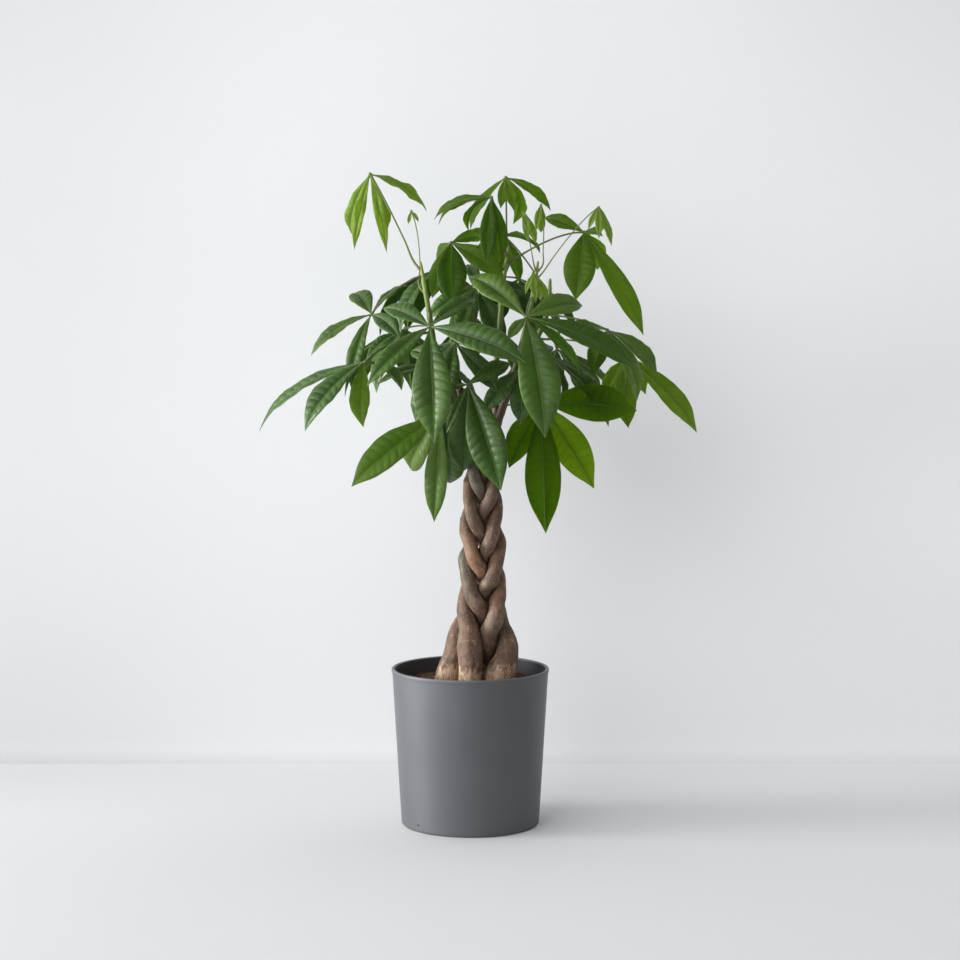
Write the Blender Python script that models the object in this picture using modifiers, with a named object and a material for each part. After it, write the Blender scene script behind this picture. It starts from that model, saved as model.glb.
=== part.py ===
"""Potted money tree: five braided woody stems in a tapered grey pot, with hand-shaped leaves.

Metres, +Z up. The origin is the centre of the pot's underside, and -Y is the front.
"""

import math
import random
from collections import namedtuple

import bmesh
import bpy
import numpy as np
from mathutils import Matrix, Vector
from mathutils.bvhtree import BVHTree

MM = 0.001
TOUCH = 0.3 * MM  # gap kept between pieces that touch
WELD = 0.00001

# The pot
POT_HEIGHT = 0.220
RIM_DIAMETER = 0.220
RIM_BAND = 0.005
RIM_STEP = 0.0010
RIM_SOFT = 0.0012  # how far the rim's edge is eased
BASE_DIAMETER = 0.193
POT_WALL = 0.0045
POT_FLOOR = 0.006
POT_CORNER = 0.004
POT_SIDES = 40

# The soil
SOIL_TOP = 0.202
SOIL_CROWN = 0.003  # how far the soil rises from the wall to the middle
SOIL_SIDES = 32
HOLE_ABOVE = 0.03  # how far a stem's hole is cut on above the soil

# The braid: each stem follows a figure of eight, seen from above, as it goes down
BRAID_MIDDLE = 0.017  # the braid stands a little to the right of the pot's axis
BRAID_WIDE = 0.0150
BRAID_DEEP = 0.0190
BRAID_TOP = 0.515
BRAID_DATUM = 0.504  # the phases below are those at this height
BRAID_FOOT = 0.287
BRAID_TURN = 0.268  # height of one whole figure of eight
STEM_FOOT = 0.172  # how deep the stems stand in the soil
STEM_SIDES_STEP = 2  # bevel resolution, which gives 8 sides
STEM_STEP = 0.004
STEM_GAP = 1.5 * TOUCH  # the sides of a stem lie a little inside its girth
STEM_FLATS = 0.97  # how far out a stem's sides lie on average, over its girth
STEM_TIP = 0.6  # a stem's last radius, over its girth there
PUSH_ROUNDS = 128
SETTLE_ROUNDS = 60
GIRTH = ((0.16, 19.5), (0.205, 20.0), (0.24, 15.2), (0.28, 12.0), (0.32, 10.4), (0.36, 9.6),
         (0.45, 8.7), (0.50, 7.6), (0.56, 5.8), (0.62, 4.6), (0.75, 3.3), (0.82, 2.2))

# name, phase in degrees, foot (x, y, radius) and the course above the braid (x, y, z), in mm
Stem = namedtuple("Stem", "name phase foot course")
STEMS = (
    Stem("left", 24, (-33, -4, 18), ((-2, -16, 545), (-40, -38, 624), (-54, -48, 706), (-67, -40, 782))),
    Stem("centre_right", -118, (35, -7, 23), ((38, -12, 566), (52, -10, 603), (69, -20, 664), (85, -20, 733),
                                               (93, -20, 784))),
    Stem("centre_left", 169, (-20, 32, 17), ((38, 10, 566), (33, 10, 601), (40, 4, 678), (45, -4, 753),
                                             (53, -8, 805))),
    Stem("right", 97.5, (-1, -35, 15), ((16, 12, 540), (26, 36, 578), (52, 50, 622), (88, 56, 668),
                                        (108, 54, 710), (112, 60, 758))),
    Stem("back", -47, (19, 28, 17), ((0, 34, 552), (-16, 62, 610), (-24, 88, 680), (-16, 104, 750))),
)

# The leaves
STALK_SIDES_STEP = 0  # bevel resolution, which gives 4 sides
PETIOLE = 1.6 * MM
PETIOLE_FOOT = 2.3 * MM
KNOB = 3.0 * MM
BLADE_RIB = 1.8 * MM  # thickness along the rib
BLADE_EDGE = 0.7 * MM
BLADE_ROOT = 1.3 * MM  # half width where a leaflet leaves the hub
BLADE_TIP = 0.9 * MM
BLADE_WIDTH = 0.35  # of its length
BLADE_FOLD = math.radians(15)
BLADE_STATIONS = (0.01, 0.20, 0.48, 0.77, 1.0)
FEWER_STATIONS = (0.01, 0.24, 0.66, 1.0)
SHORT_BLADE = 0.105  # a leaflet shorter than this has the fewer stations
ROOM = 1.5 * MM  # half the space kept free for a leaflet, across its face

# The stem that carries the leaf, the height in mm where the leaf stalk leaves it, the hub (x, y, z) in mm,
# the heading and pitch that its upper side faces, how far its leaflets arch over their length, and the
# leaflets. Each leaflet is its heading and droop in degrees, its length in mm and, where it isn't the usual,
# its width over its length. Heading 0 is +X and 90 is the back.
Leaf = namedtuple("Leaf", "stem height hub facing arch leaflets")
UPWARD = (0, 90)
LEAVES = (
    Leaf("left", 715, (-53, -130, 699), (-90, 38), 0.07,
         ((-80, 76, 156), (-18, 18, 140), (-144, 36, 124, 0.24), (144, -18, 84, 0.4), (44, -24, 94, 0.28))),
    Leaf("centre_right", 735, (75, -120, 711), (-85, 40), 0.08,
         ((-60, 72, 164), (142, -30, 114), (38, -10, 102), (8, 24, 168, 0.24), (38, 38, 126, 0.18),
          (-134, 52, 46))),
    Leaf("centre_left", 635, (-2, -90, 620), (-90, 25), 0.07,
         ((-38, 68, 150), (-156, 70, 72, 0.2), (28, -24, 72), (150, 10, 62), (96, 56, 140))),
    Leaf("left", 690, (-141, -90, 651), (-120, 58), 0.08,
         ((-154, 44, 126), (166, 30, 180, 0.2), (-110, 82, 88, 0.36), (56, 24, 94, 0.4), (32, -30, 64))),
    Leaf("left", 765, (-134, -50, 714), (-110, 66), 0.08,
         ((-174, 32, 100, 0.24), (-134, 60, 106, 0.22), (-52, 24, 70, 0.4), (118, -28, 64, 0.5),
          (46, -30, 82, 0.24))),
    Leaf("left", 615, (-39, -70, 579), (-90, 30), 0.06,
         ((180, 38, 158, 0.31), (120, 82, 152, 0.22), (116, 38, 140), (68, 44, 136), (70, 14, 120))),
    Leaf("centre_right", 715, (188, -30, 692), (-70, 60), 0.08,
         ((-8, 40, 92), (-154, 0, 70), (24, 64, 112), (66, 58, 104), (106, 46, 88))),
    Leaf("right", 565, (98, -20, 592), (90, 20), 0.07,
         ((-60, 86, 180, 0.29), (22, 56, 144), (0, 4, 132, 0.42), (152, 54, 104, 0.42), (100, -16, 96))),
    Leaf("right", 620, (114, 10, 652), (-80, 60), 0.08,
         ((10, 26, 126), (68, 52, 72), (-12, 30, 56, 0.22), (120, 42, 80), (150, 6, 60))),
    Leaf("right", 680, (222, 50, 651), (100, 45), 0.08,
         ((-6, 46, 142, 0.24), (-96, 78, 100), (68, 34, 92), (126, 40, 80))),
    Leaf("centre_left", 785, (157, 0, 826), (-90, 25), 0.08,
         ((14, 58, 168, 0.18), (-112, 70, 98, 0.46), (162, -6, 62), (-60, 6, 46), (70, 34, 90))),
    Leaf("centre_left", 795, (29, -50, 872), (-90, 50), 0.12,
         ((166, 18, 86, 0.24), (146, 20, 96, 0.24), (116, 28, 88, 0.3), (-102, 72, 94, 0.26),
          (-24, 74, 88, 0.3))),
    Leaf("centre_left", 800, (49, 10, 901), (-90, 46), 0.11,
         ((150, 50, 92, 0.2), (-126, 74, 44, 0.32), (-70, 54, 56, 0.34), (8, 34, 78, 0.26), (78, 40, 94))),
    Leaf("left", 780, (-136, -30, 904), (-90, 42), 0.12,
         ((-138, 74, 106, 0.18), (-52, 70, 112, 0.18), (8, 38, 92, 0.28), (116, 52, 108, 0.24),
          (78, 52, 114, 0.24))),
    Leaf("centre_left", 775, (-26, -30, 811), (-90, 30), 0.08,
         ((-88, 64, 100, 0.42), (-164, 56, 80, 0.34), (-10, 32, 88, 0.36), (42, -8, 60), (104, 26, 80))),
    Leaf("right", 745, (46, 60, 822), (-90, 60), 0.08,
         ((180, 2, 64, 0.36), (-22, 68, 70, 0.3), (94, 48, 92), (48, 14, 84), (112, 22, 94))),
    Leaf("left", 670, (-20, -65, 675), (-90, 35), 0.06,
         ((-112, 70, 84), (-16, 62, 88), (20, 8, 78), (150, 40, 64), (60, -54, 76))),
    Leaf("centre_right", 670, (71, -45, 641), (-90, 35), 0.06,
         ((-162, 40, 84), (-98, 74, 78, 0.42), (-12, 44, 70), (130, -36, 72), (66, -20, 88))),
    Leaf("centre_left", 735, (11, 35, 750), (-90, 35), 0.06,
         ((-176, 30, 84), (-128, 56, 104), (-36, 52, 96), (4, 6, 72), (108, -36, 58))),
    Leaf("back", 615, (-42, 30, 641), (-110, 50), 0.07,
         ((-162, 14, 96, 0.26), (144, 58, 92), (-26, 76, 92), (126, -16, 76), (50, 34, 78))),
    Leaf("back", 740, (-50, 150, 775), UPWARD, 0.09, ()),
    Leaf("back", 745, (70, 165, 762), UPWARD, 0.09, ()),
    Leaf("back", 690, (-95, 130, 690), UPWARD, 0.09, ()),
    Leaf("back", 700, (10, 205, 700), UPWARD, 0.09, ()),
    Leaf("right", 690, (125, 150, 660), UPWARD, 0.09, ()),
    Leaf("back", 640, (-30, 165, 610), UPWARD, 0.09, ()),
)
SHOOTS = (
    Leaf("centre_right", 775, (72, -40, 853), (-90, 40), 0.1,
         ((-56, 74, 42, 0.24), (36, 70, 50, 0.24), (-76, 46, 44, 0.24))),
    Leaf("centre_right", 775, (97, -20, 863), (-90, 40), 0.1,
         ((-106, 62, 44, 0.24), (-62, 68, 30, 0.24), (88, 64, 46, 0.24))),
    Leaf("centre_right", 765, (176, -20, 860), (-90, 40), 0.1,
         ((0, 78, 56, 0.2), (-92, 66, 50, 0.24), (180, 78, 34, 0.24), (82, 40, 52, 0.24))),
    Leaf("centre_right", 745, (86, -30, 770), (-90, 40), 0.1,
         ((0, 62, 46, 0.24), (-98, 66, 50, 0.24), (180, 70, 30, 0.24), (68, 50, 50, 0.24))),
    Leaf("left", 775, (-80, -35, 854), (-90, 40), 0.1, ((-154, 76, 18, 0.3), (-26, 76, 18, 0.3))),
)
# A leaf with no leaflets listed gets these, turned to face away from the crown's middle
FAN = ((0, 40, 136), (46, 46, 130), (-48, 42, 132), (96, 54, 108), (-100, 52, 112))
CROWN_MIDDLE = (20, 10)

# The other ways that a stalk or a leaflet tries when something is in its way
STALK_BOWS = (0, 10, -10, 20, -20, 32, -32)  # mm sideways
STALK_RISES = (0.12, 0.30, 0.0, -0.16)
STALK_SHIFTS = (0, -14, 14, -28, 28, -45)  # mm along the stem
BLADE_SWINGS = (0, 7, -7, 14, -14, 22, -22, 30, -30, 40, -40)
BLADE_LENGTHS = (1.0, 0.88, 0.76, 0.62)
BLADE_TRIAL = np.linspace(0.06, 1.02, 9)  # the stations at which a leaflet is tried
STALK_ROOM = 1.2 * MM
STALK_CLIMB = 1.8  # how steeply a stalk that goes straight up leaves its stem
STEM_ROOM = 1.0 * MM
BLADE_ROOM = 0.8 * MM
SHOOT_SLIM = 0.62  # a shoot's stalk and knob, over a leaf's


# ---- growth: centre lines and outlines, with nothing of Blender's but its nearest-surface test


def unit(vector):
    return vector / np.linalg.norm(vector)


def direction(heading, droop):
    heading, droop = math.radians(heading), math.radians(droop)
    level = math.cos(droop)
    return np.array((level * math.cos(heading), level * math.sin(heading), -math.sin(droop)))


def ease(amount):
    amount = min(max(amount, 0.0), 1.0)
    return amount * amount * (3 - 2 * amount)


def curve_through(controls, heights):
    """Smooth x and y at each height, through control points that rise steadily."""
    controls = np.array(controls, float)
    slopes = np.gradient(controls[:, :2], controls[:, 2], axis=0)
    places = []
    for height in heights:
        upper = int(np.clip(np.searchsorted(controls[:, 2], height), 1, len(controls) - 1))
        low, high = controls[upper - 1], controls[upper]
        span = high[2] - low[2]
        t = (height - low[2]) / span
        xy = ((1 + 2 * t) * (1 - t) ** 2 * low[:2] + t * t * (3 - 2 * t) * high[:2]
              + span * t * (1 - t) * ((1 - t) * slopes[upper - 1] - t * slopes[upper]))
        places.append((xy[0], xy[1], height))
    return np.array(places)


def braid_place(phase, height):
    turn = math.radians(phase) + 2 * math.pi * (BRAID_DATUM - max(height, BRAID_FOOT)) / BRAID_TURN
    return np.array((BRAID_MIDDLE - BRAID_WIDE * math.cos(turn), -BRAID_DEEP * math.sin(2 * turn)))


def rough_line(stem):
    """The stem's middle from its foot, through the braid and along its own course to its tip."""
    foot = np.array(stem.foot[:2]) * MM
    course = [tuple(np.array(point) * MM) for point in stem.course]
    heights = np.arange(STEM_FOOT, course[-1][2] + STEM_STEP / 2, STEM_STEP)
    braided = []
    for height in heights[heights < BRAID_TOP]:
        place = braid_place(stem.phase, height)
        spread = ease((BRAID_FOOT - height) / (BRAID_FOOT - SOIL_TOP))
        braided.append((*(place + (foot - place) * spread), height))
    free = heights[heights >= BRAID_TOP]
    return np.vstack((braided, curve_through(braided[-3::2] + course, free)))


def girth(stem, heights):
    """The stem's radius at each height, with its own foot's swelling."""
    table = np.array(GIRTH)
    radii = np.interp(heights, table[:, 0], table[:, 1])
    swelling = np.array([ease((0.25 - height) / 0.045) for height in heights])
    return radii * (1 + (stem.foot[2] / 20 - 1) * swelling) * MM


def knots_of(line):
    """The rows of a stem's line that its solid is built on: closer through the braid than above it."""
    buried = int((line[:, 2] < SOIL_TOP).sum())
    braided = int((line[:, 2] < BRAID_TOP + 0.06).sum())
    return [0, buried // 2, *range(buried, braided, 3), *range(braided + 3, len(line) - 3, 6), len(line) - 1]


def spans_of(line):
    """How much of each knot's move every row of the line takes, so that it stays straight between knots."""
    knots = knots_of(line)
    each = np.eye(len(knots))
    return np.array([np.interp(np.arange(len(line)), knots, row) for row in each]).T


def pushes(lines, radii, one):
    """Sideways moves that take one stem out of the others, each at its worst place."""
    moved = np.zeros((len(lines[one]), 2))
    for other in range(len(lines)):
        if one == other:
            continue
        gaps = lines[one][:, None, :] - lines[other][None, :, :]
        far = np.linalg.norm(gaps, axis=2)
        short = radii[one][:, None] + radii[other][None, :] + STEM_GAP - far
        worst = short.argmax(axis=1)
        rows = np.arange(len(worst))
        need = np.clip(short[rows, worst], 0, None)
        away = gaps[rows, worst, :2]
        away = away / (np.linalg.norm(away, axis=1, keepdims=True) + 1e-9)
        moved += 0.5 * need[:, None] * away
    return moved


def push_apart(lines, radii):
    """Moves the stems' middles sideways until none runs into another."""
    for _ in range(PUSH_ROUNDS):
        for one, line in enumerate(lines):
            line[:, :2] += pushes(lines, radii, one)
        for line in lines:
            middle = (line[:-2, :2] + line[2:, :2]) / 2
            line[1:-1, :2] += 0.12 * (middle - line[1:-1, :2])
    spans = [spans_of(line) for line in lines]
    for line, span in zip(lines, spans):
        line[:, :2] = span @ line[knots_of(line), :2]
    for _ in range(SETTLE_ROUNDS):
        for one, (line, span) in enumerate(zip(lines, spans)):
            moved = pushes(lines, radii, one)
            line[:, :2] += span @ ((span.T @ moved) / (span ** 2).sum(axis=0)[:, None])
    return lines


def grow_stems():
    """name -> (middle points, radii), from foot to tip."""
    lines = [rough_line(stem) for stem in STEMS]
    radii = [girth(stem, line[:, 2]) for stem, line in zip(STEMS, lines)]
    grown = {}
    for stem, line, radius in zip(STEMS, push_apart(lines, radii), radii):
        radius[-1] *= STEM_TIP
        knots = knots_of(line)
        grown[stem.name] = (line[knots], radius[knots])
    return grown


class Thicket:
    """What has grown so far, as slightly swollen shells that a new piece must not cross."""

    def __init__(self):
        self.shells = []

    def add(self, owner, points, faces):
        points = np.asarray(points)
        self.shells.append((owner, shell_tree(points, faces), points.min(axis=0), points.max(axis=0)))

    def is_clear(self, points, faces, skip=None, only=None):
        """Whether these faces cross no shell, or none but the skipped owner's, or none of one owner's."""
        low, high = points.min(axis=0), points.max(axis=0)
        tree = None
        for name, other, other_low, other_high in self.shells:
            if name == skip or (only and name != only):
                continue
            if (low > other_high).any() or (high < other_low).any():
                continue
            tree = tree or shell_tree(points, faces)
            if tree.overlap(other):
                return False
        return True


def shell_tree(points, faces):
    return BVHTree.FromPolygons([Vector(point) for point in points], faces)


def tube(points, radii, sides=5):
    """(points, faces) of an open tube round a line."""
    rings = []
    tangents = np.gradient(points, axis=0)
    for place, tangent, radius in zip(points, tangents, radii):
        tangent = unit(tangent)
        across = unit(np.cross(tangent, (0.31, 0.87, 0.11)))
        over = np.cross(tangent, across)
        for side in range(sides):
            turn = 2 * math.pi * side / sides
            rings.append(place + radius * (math.cos(turn) * across + math.sin(turn) * over))
    faces = []
    for ring in range(len(points) - 1):
        for side in range(sides):
            after = (side + 1) % sides
            faces.append((ring * sides + side, ring * sides + after, (ring + 1) * sides + after,
                          (ring + 1) * sides + side))
    return np.array(rings), faces


def stalk_line(stem, height, hub, bow, rise, slim):
    """The leaf stalk's middle: out of the stem, steeper the more it climbs, then one arch to the hub."""
    line, radii = stem
    height = min(height, line[-1, 2] - 6 * MM)
    root = np.array([np.interp(height, line[:, 2], line[:, axis]) for axis in range(3)])
    below = np.array([np.interp(height - 8 * MM, line[:, 2], line[:, axis]) for axis in range(3)])
    radius = np.interp(height, line[:, 2], radii)
    grain = unit(root - below)
    reach = hub - root
    out = unit(reach * (1, 1, 0.2) - grain * np.dot(reach * (1, 1, 0.2), grain))
    climb = STALK_CLIMB * max(0.0, np.dot(unit(reach), grain))
    leaving = unit(out + grain * climb)
    start = root + out * (radius * STEM_FLATS + TOUCH + PETIOLE_FOOT * slim * np.dot(leaving, grain))
    neck = start + leaving * 5 * MM
    span = np.linalg.norm(hub - neck)
    aside = unit(np.cross(reach, (0, 0, 1)))
    bend = (neck + hub) / 2 + np.array((0, 0, rise * span)) + aside * bow * MM + leaving * 0.12 * span
    points = [start]
    for t in np.linspace(0, 1, 6):
        points.append(neck * (1 - t) ** 2 + bend * 2 * t * (1 - t) + hub * t * t)
    return np.array(points)


def stalk_radii(count, slim):
    return np.interp(np.arange(count), (0, 1, 2, count - 2, count - 1),
                     (PETIOLE_FOOT, PETIOLE_FOOT, PETIOLE, PETIOLE, PETIOLE * 1.2)) * slim


def grow_stalk(leaf, stems, thicket, owner, slim):
    """The first course of the leaf's stalk that is clear of what has grown."""
    hub = np.array(leaf.hub) * MM
    tries = [(abs(bow) / 20 + index + abs(shift) / 20, bow, rise, shift) for bow in STALK_BOWS
             for index, rise in enumerate(STALK_RISES) for shift in STALK_SHIFTS]
    for _, bow, rise, shift in sorted(tries, key=lambda way: way[0]):
        line = stalk_line(stems[leaf.stem], (leaf.height + shift) * MM, hub, bow, rise, slim)
        radii = stalk_radii(len(line), slim)
        beyond = line[-1] + unit(line[-1] - line[-2]) * KNOB
        line_on, radii_on = np.vstack((line, beyond)), np.append(radii, KNOB * slim) + STALK_ROOM
        points, faces = tube(line_on, radii_on)
        own_stem = "stem_" + leaf.stem
        if (thicket.is_clear(points, faces, skip=own_stem)
                and thicket.is_clear(*tube(line_on[2:], radii_on[2:]), only=own_stem)):
            break
    thicket.add(owner, points, faces)
    return line, radii


Blade = namedtuple("Blade", "hub along upper length width arch roll twist ripple phase")


def outline(u):
    """Half width along a leaflet: tapered to the hub, widest past the middle, drawn out to a tip."""
    return math.sin(math.pi * min(u, 1.0) ** 1.22) ** 0.92 * (1 - 0.25 * ease((u - 0.8) / 0.2))


def blade_rings(blade, stations, rib, edge, grow=0.0):
    """Rings of six points along a leaflet: left, rib and right on its face, then right, rib and left below."""
    rings = []
    bow = blade.arch * blade.length
    side = np.cross(blade.along, blade.upper)
    for u in stations:
        middle = blade.hub + blade.along * blade.length * u + blade.upper * bow * 4 * u * (1 - u)
        tangent = unit(blade.along * blade.length + blade.upper * bow * 4 * (1 - 2 * u))
        roll = blade.roll + blade.twist * u
        across = side * math.cos(roll) + np.cross(tangent, side) * math.sin(roll)
        face = np.cross(across, tangent)
        least = BLADE_ROOT + (BLADE_TIP - BLADE_ROOT) * u
        wide = max(blade.width / 2 * outline(u), least) + grow
        fold = BLADE_FOLD * (1 - 0.3 * u)
        wave = blade.ripple * outline(u)
        left = wide * math.sin(fold) + wave * math.sin(5 * math.pi * u + blade.phase)
        right = wide * math.sin(fold) + wave * math.sin(5 * math.pi * u + blade.phase + 2.1)
        thick = rib * (1 - 0.45 * u) / 2
        edges = (middle - across * wide * math.cos(fold) + face * left,
                 middle + across * wide * math.cos(fold) + face * right)
        rings.append((edges[0] + face * edge / 2, middle + face * thick, edges[1] + face * edge / 2,
                      edges[1] - face * edge / 2, middle - face * thick, edges[0] - face * edge / 2))
    return np.array(rings)


def blade_faces(count):
    """Triangles over the rings, split alike on the upper and the lower face, with both ends closed."""
    faces = [(0, 1, 4, 5), (1, 2, 3, 4)]
    for ring in range(count - 1):
        low, high = 6 * ring, 6 * (ring + 1)
        for first in range(6):
            after = (first + 1) % 6
            if first in (0, 3):
                faces += [(low + first, low + after, high + first), (low + after, high + after, high + first)]
            else:
                faces += [(low + first, low + after, high + after), (low + first, high + after, high + first)]
    last = 6 * (count - 1)
    faces += [(last + 5, last + 4, last + 1, last), (last + 4, last + 3, last + 2, last + 1)]
    return faces


def shape_blade(leaf, heading, droop, length, width, draw, young):
    hub = np.array(leaf.hub) * MM
    along = direction(heading, droop)
    facing = direction(leaf.facing[0], -leaf.facing[1])
    upper = unit(facing - along * np.dot(facing, along))
    ripple = 0.5 * MM if young else 0.9 * MM
    return Blade(hub, along, upper, length * MM, length * width * MM, leaf.arch, math.radians(draw[0]),
                 math.radians(draw[1]), ripple, draw[2])


def grow_blade(blade_of, thicket, owner):
    """The leaflet nearest to the wanted one that is clear of what has grown."""
    tries = [(abs(swing) + abs(lift) + 90 * (1 - size), swing, lift, size) for size in BLADE_LENGTHS
             for swing in BLADE_SWINGS for lift in BLADE_SWINGS]
    for _, swing, lift, size in sorted(tries, key=lambda way: way[0]):
        blade = blade_of(swing, lift, size)
        points = blade_rings(blade, BLADE_TRIAL, 2 * ROOM, 2 * ROOM, BLADE_ROOM).reshape(-1, 3)
        faces = blade_faces(len(BLADE_TRIAL))
        outer = points[12:]
        outer_faces = blade_faces(len(BLADE_TRIAL) - 2)
        if thicket.is_clear(points, faces, skip=owner) and thicket.is_clear(outer, outer_faces, only=owner):
            thicket.add(owner, points, faces)
            return blade
    return None


def leaflets_of(leaf):
    if leaf.leaflets:
        return leaf.leaflets
    away = math.degrees(math.atan2(leaf.hub[1] - CROWN_MIDDLE[1], leaf.hub[0] - CROWN_MIDDLE[0]))
    return tuple((away + heading, droop, length) for heading, droop, length in FAN)


def grow_leaves(stems):
    """owner -> (stalk middle, stalk radii, blades), for the leaves and then the shoots."""
    thicket = Thicket()
    for name, (line, radii) in stems.items():
        thicket.add("stem_" + name, *tube(line, radii + STEM_ROOM, 8))
    plants = [(f"leaf_{number:02d}", leaf, False) for number, leaf in enumerate(LEAVES, 1)]
    plants += [(f"shoot_{number}", shoot, True) for number, shoot in enumerate(SHOOTS, 1)]
    grown = {}
    for owner, leaf, young in plants:
        grown[owner] = (*grow_stalk(leaf, stems, thicket, owner, SHOOT_SLIM if young else 1.0), [])
    for order, (owner, leaf, young) in enumerate(plants):
        chance = random.Random(order)
        for heading, droop, length, *special in leaflets_of(leaf):
            width = special[0] if special else BLADE_WIDTH
            draw = (chance.uniform(-9, 9), chance.uniform(-14, 14), chance.uniform(0, 6))

            def blade_of(swing, lift, size):
                return shape_blade(leaf, heading + swing, droop - lift, length * size, width, draw, young)

            blade = grow_blade(blade_of, thicket, owner)
            if blade:
                grown[owner][2].append(blade)
    return grown


# ---- construction


def clear_scene():
    for thing in list(bpy.data.objects):
        bpy.data.objects.remove(thing, do_unlink=True)


def collection(name, hidden=False):
    made = bpy.data.collections.new(name)
    bpy.context.scene.collection.children.link(made)
    made.hide_render = hidden
    return made


def finish(name, colour, roughness, coat=0.0):
    material = bpy.data.materials.new(name)
    material.use_nodes = True
    shader = material.node_tree.nodes["Principled BSDF"]
    shader.inputs["Base Color"].default_value = (*colour, 1)
    shader.inputs["Roughness"].default_value = roughness
    shader.inputs["Metallic"].default_value = 0.0
    shader.inputs["Coat Weight"].default_value = coat
    material.diffuse_color = (*colour, 1)
    return material


def add_object(name, data, home):
    made = bpy.data.objects.new(name, data)
    home.objects.link(made)
    if home.hide_render:
        made.display_type = "WIRE"
    return made


def add_mesh(name, points, faces, home):
    mesh = bpy.data.meshes.new(name)
    mesh.from_pydata([tuple(point) for point in points], [], faces)
    face_outwards(mesh)
    return add_object(name, mesh, home)


def face_outwards(mesh, weld=0.0):
    """Turns every face outwards, after joining points closer than weld."""
    shape = bmesh.new()
    shape.from_mesh(mesh)
    if weld:
        bmesh.ops.remove_doubles(shape, verts=shape.verts, dist=weld)
    bmesh.ops.recalc_face_normals(shape, faces=shape.faces)
    shape.to_mesh(mesh)
    shape.free()


def dress(made, material, sharp):
    """Gives a finished solid its one material, and smooth shading between its sharp edges."""
    made.data.materials.clear()
    made.data.materials.append(material)
    made.data.shade_smooth()
    made.data.set_sharp_from_angle(angle=math.radians(sharp))


def turned(name, profile, sides, home):
    """A profile of (radius, height) points from the top of the outer side, turned about Z."""
    mesh = bpy.data.meshes.new(name)
    edges = [(index, index + 1) for index in range(len(profile) - 1)]
    mesh.from_pydata([(radius, 0, height) for radius, height in profile], edges, [])
    made = add_object(name, mesh, home)
    screw = made.modifiers.new("turn", "SCREW")
    screw.steps = sides
    screw.render_steps = sides
    screw.use_merge_vertices = True
    screw.merge_threshold = 0.00005
    return made


def plain_mesh(made):
    """Puts the object's evaluated shape in place of its modifiers or its curve."""
    bpy.context.view_layer.update()
    evaluated = made.evaluated_get(bpy.context.evaluated_depsgraph_get())
    mesh = bpy.data.meshes.new_from_object(evaluated)
    face_outwards(mesh, WELD)
    name, home = made.name, made.users_collection[0]
    bpy.data.objects.remove(made)
    return add_object(name, mesh, home)


def rod(name, points, radii, sides_step, home):
    """A round rod along a line, with its own radius at each point and flat ends."""
    curve = bpy.data.curves.new(name, "CURVE")
    curve.dimensions = "3D"
    curve.bevel_depth = 1.0
    curve.bevel_resolution = sides_step
    curve.use_fill_caps = True
    spline = curve.splines.new("POLY")
    spline.points.add(len(points) - 1)
    for knot, point, radius in zip(spline.points, points, radii):
        knot.co = (*point, 1)
        knot.radius = radius
    return plain_mesh(add_object(name, curve, home))


def combine(made, operation, group):
    """One Boolean with all of a collection's solids, applied, and the solids then removed."""
    boolean = made.modifiers.new(operation.lower(), "BOOLEAN")
    boolean.operation = operation
    boolean.operand_type = "COLLECTION"
    boolean.collection = group
    boolean.solver = "EXACT"
    solid = plain_mesh(made)
    for used in list(group.objects):
        bpy.data.objects.remove(used, do_unlink=True)
    return solid


def wall_radius(height):
    """The outside of the pot's tapered wall at a height."""
    rim = RIM_DIAMETER / 2 - RIM_STEP
    base = BASE_DIAMETER / 2
    return base + (rim - base) * height / (POT_HEIGHT - RIM_BAND)


def build_pot(home, material):
    rim = RIM_DIAMETER / 2
    inner_foot = wall_radius(POT_FLOOR) - POT_WALL
    profile = [(rim - POT_WALL / 2, POT_HEIGHT), (rim - RIM_SOFT, POT_HEIGHT - RIM_SOFT / 3),
               (rim, POT_HEIGHT - RIM_SOFT),
               (rim, POT_HEIGHT - RIM_BAND),
               (wall_radius(POT_HEIGHT - RIM_BAND), POT_HEIGHT - RIM_BAND - RIM_STEP)]
    for degrees in (0, 30, 60, 90):
        turn = math.radians(degrees)
        reach = wall_radius(POT_CORNER) - POT_CORNER * (1 - math.cos(turn))
        profile.append((reach, POT_CORNER * (1 - math.sin(turn))))
    profile += [(0, 0), (0, POT_FLOOR), (inner_foot, POT_FLOOR), (rim - POT_WALL, POT_HEIGHT - RIM_SOFT),
                (rim - POT_WALL / 2, POT_HEIGHT)]
    dress(plain_mesh(turned("pot", profile, POT_SIDES, home)), material, 40)


def build_soil(home, cutters, material, stems):
    """The soil fills the pot, with a plain hole for each stem to stand in."""
    inner_top = RIM_DIAMETER / 2 - POT_WALL
    inner_foot = wall_radius(POT_FLOOR) - POT_WALL
    slope = (inner_top - inner_foot) / (POT_HEIGHT - POT_FLOOR)
    # flats between the pot's sides reach further in than its corners
    flat = math.cos(math.pi / POT_SIDES)
    top = (inner_foot + slope * (SOIL_TOP - SOIL_CROWN - POT_FLOOR)) * flat - TOUCH
    foot = inner_foot * flat - TOUCH
    profile = [(0, SOIL_TOP), (top * 0.55, SOIL_TOP - SOIL_CROWN / 5), (top, SOIL_TOP - SOIL_CROWN),
               (foot, POT_FLOOR + TOUCH), (0, POT_FLOOR + TOUCH)]
    soil = turned("soil", profile, SOIL_SIDES, home)
    for name, (line, radii) in stems.items():
        low = line[:, 2] < SOIL_TOP + HOLE_ABOVE
        points = line[low]
        points[0] -= np.array((0, 0, TOUCH))
        rod("hole_" + name, points, radii[low] + TOUCH, STEM_SIDES_STEP, cutters)
    dress(combine(plain_mesh(soil), "DIFFERENCE", cutters), material, 30)


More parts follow.
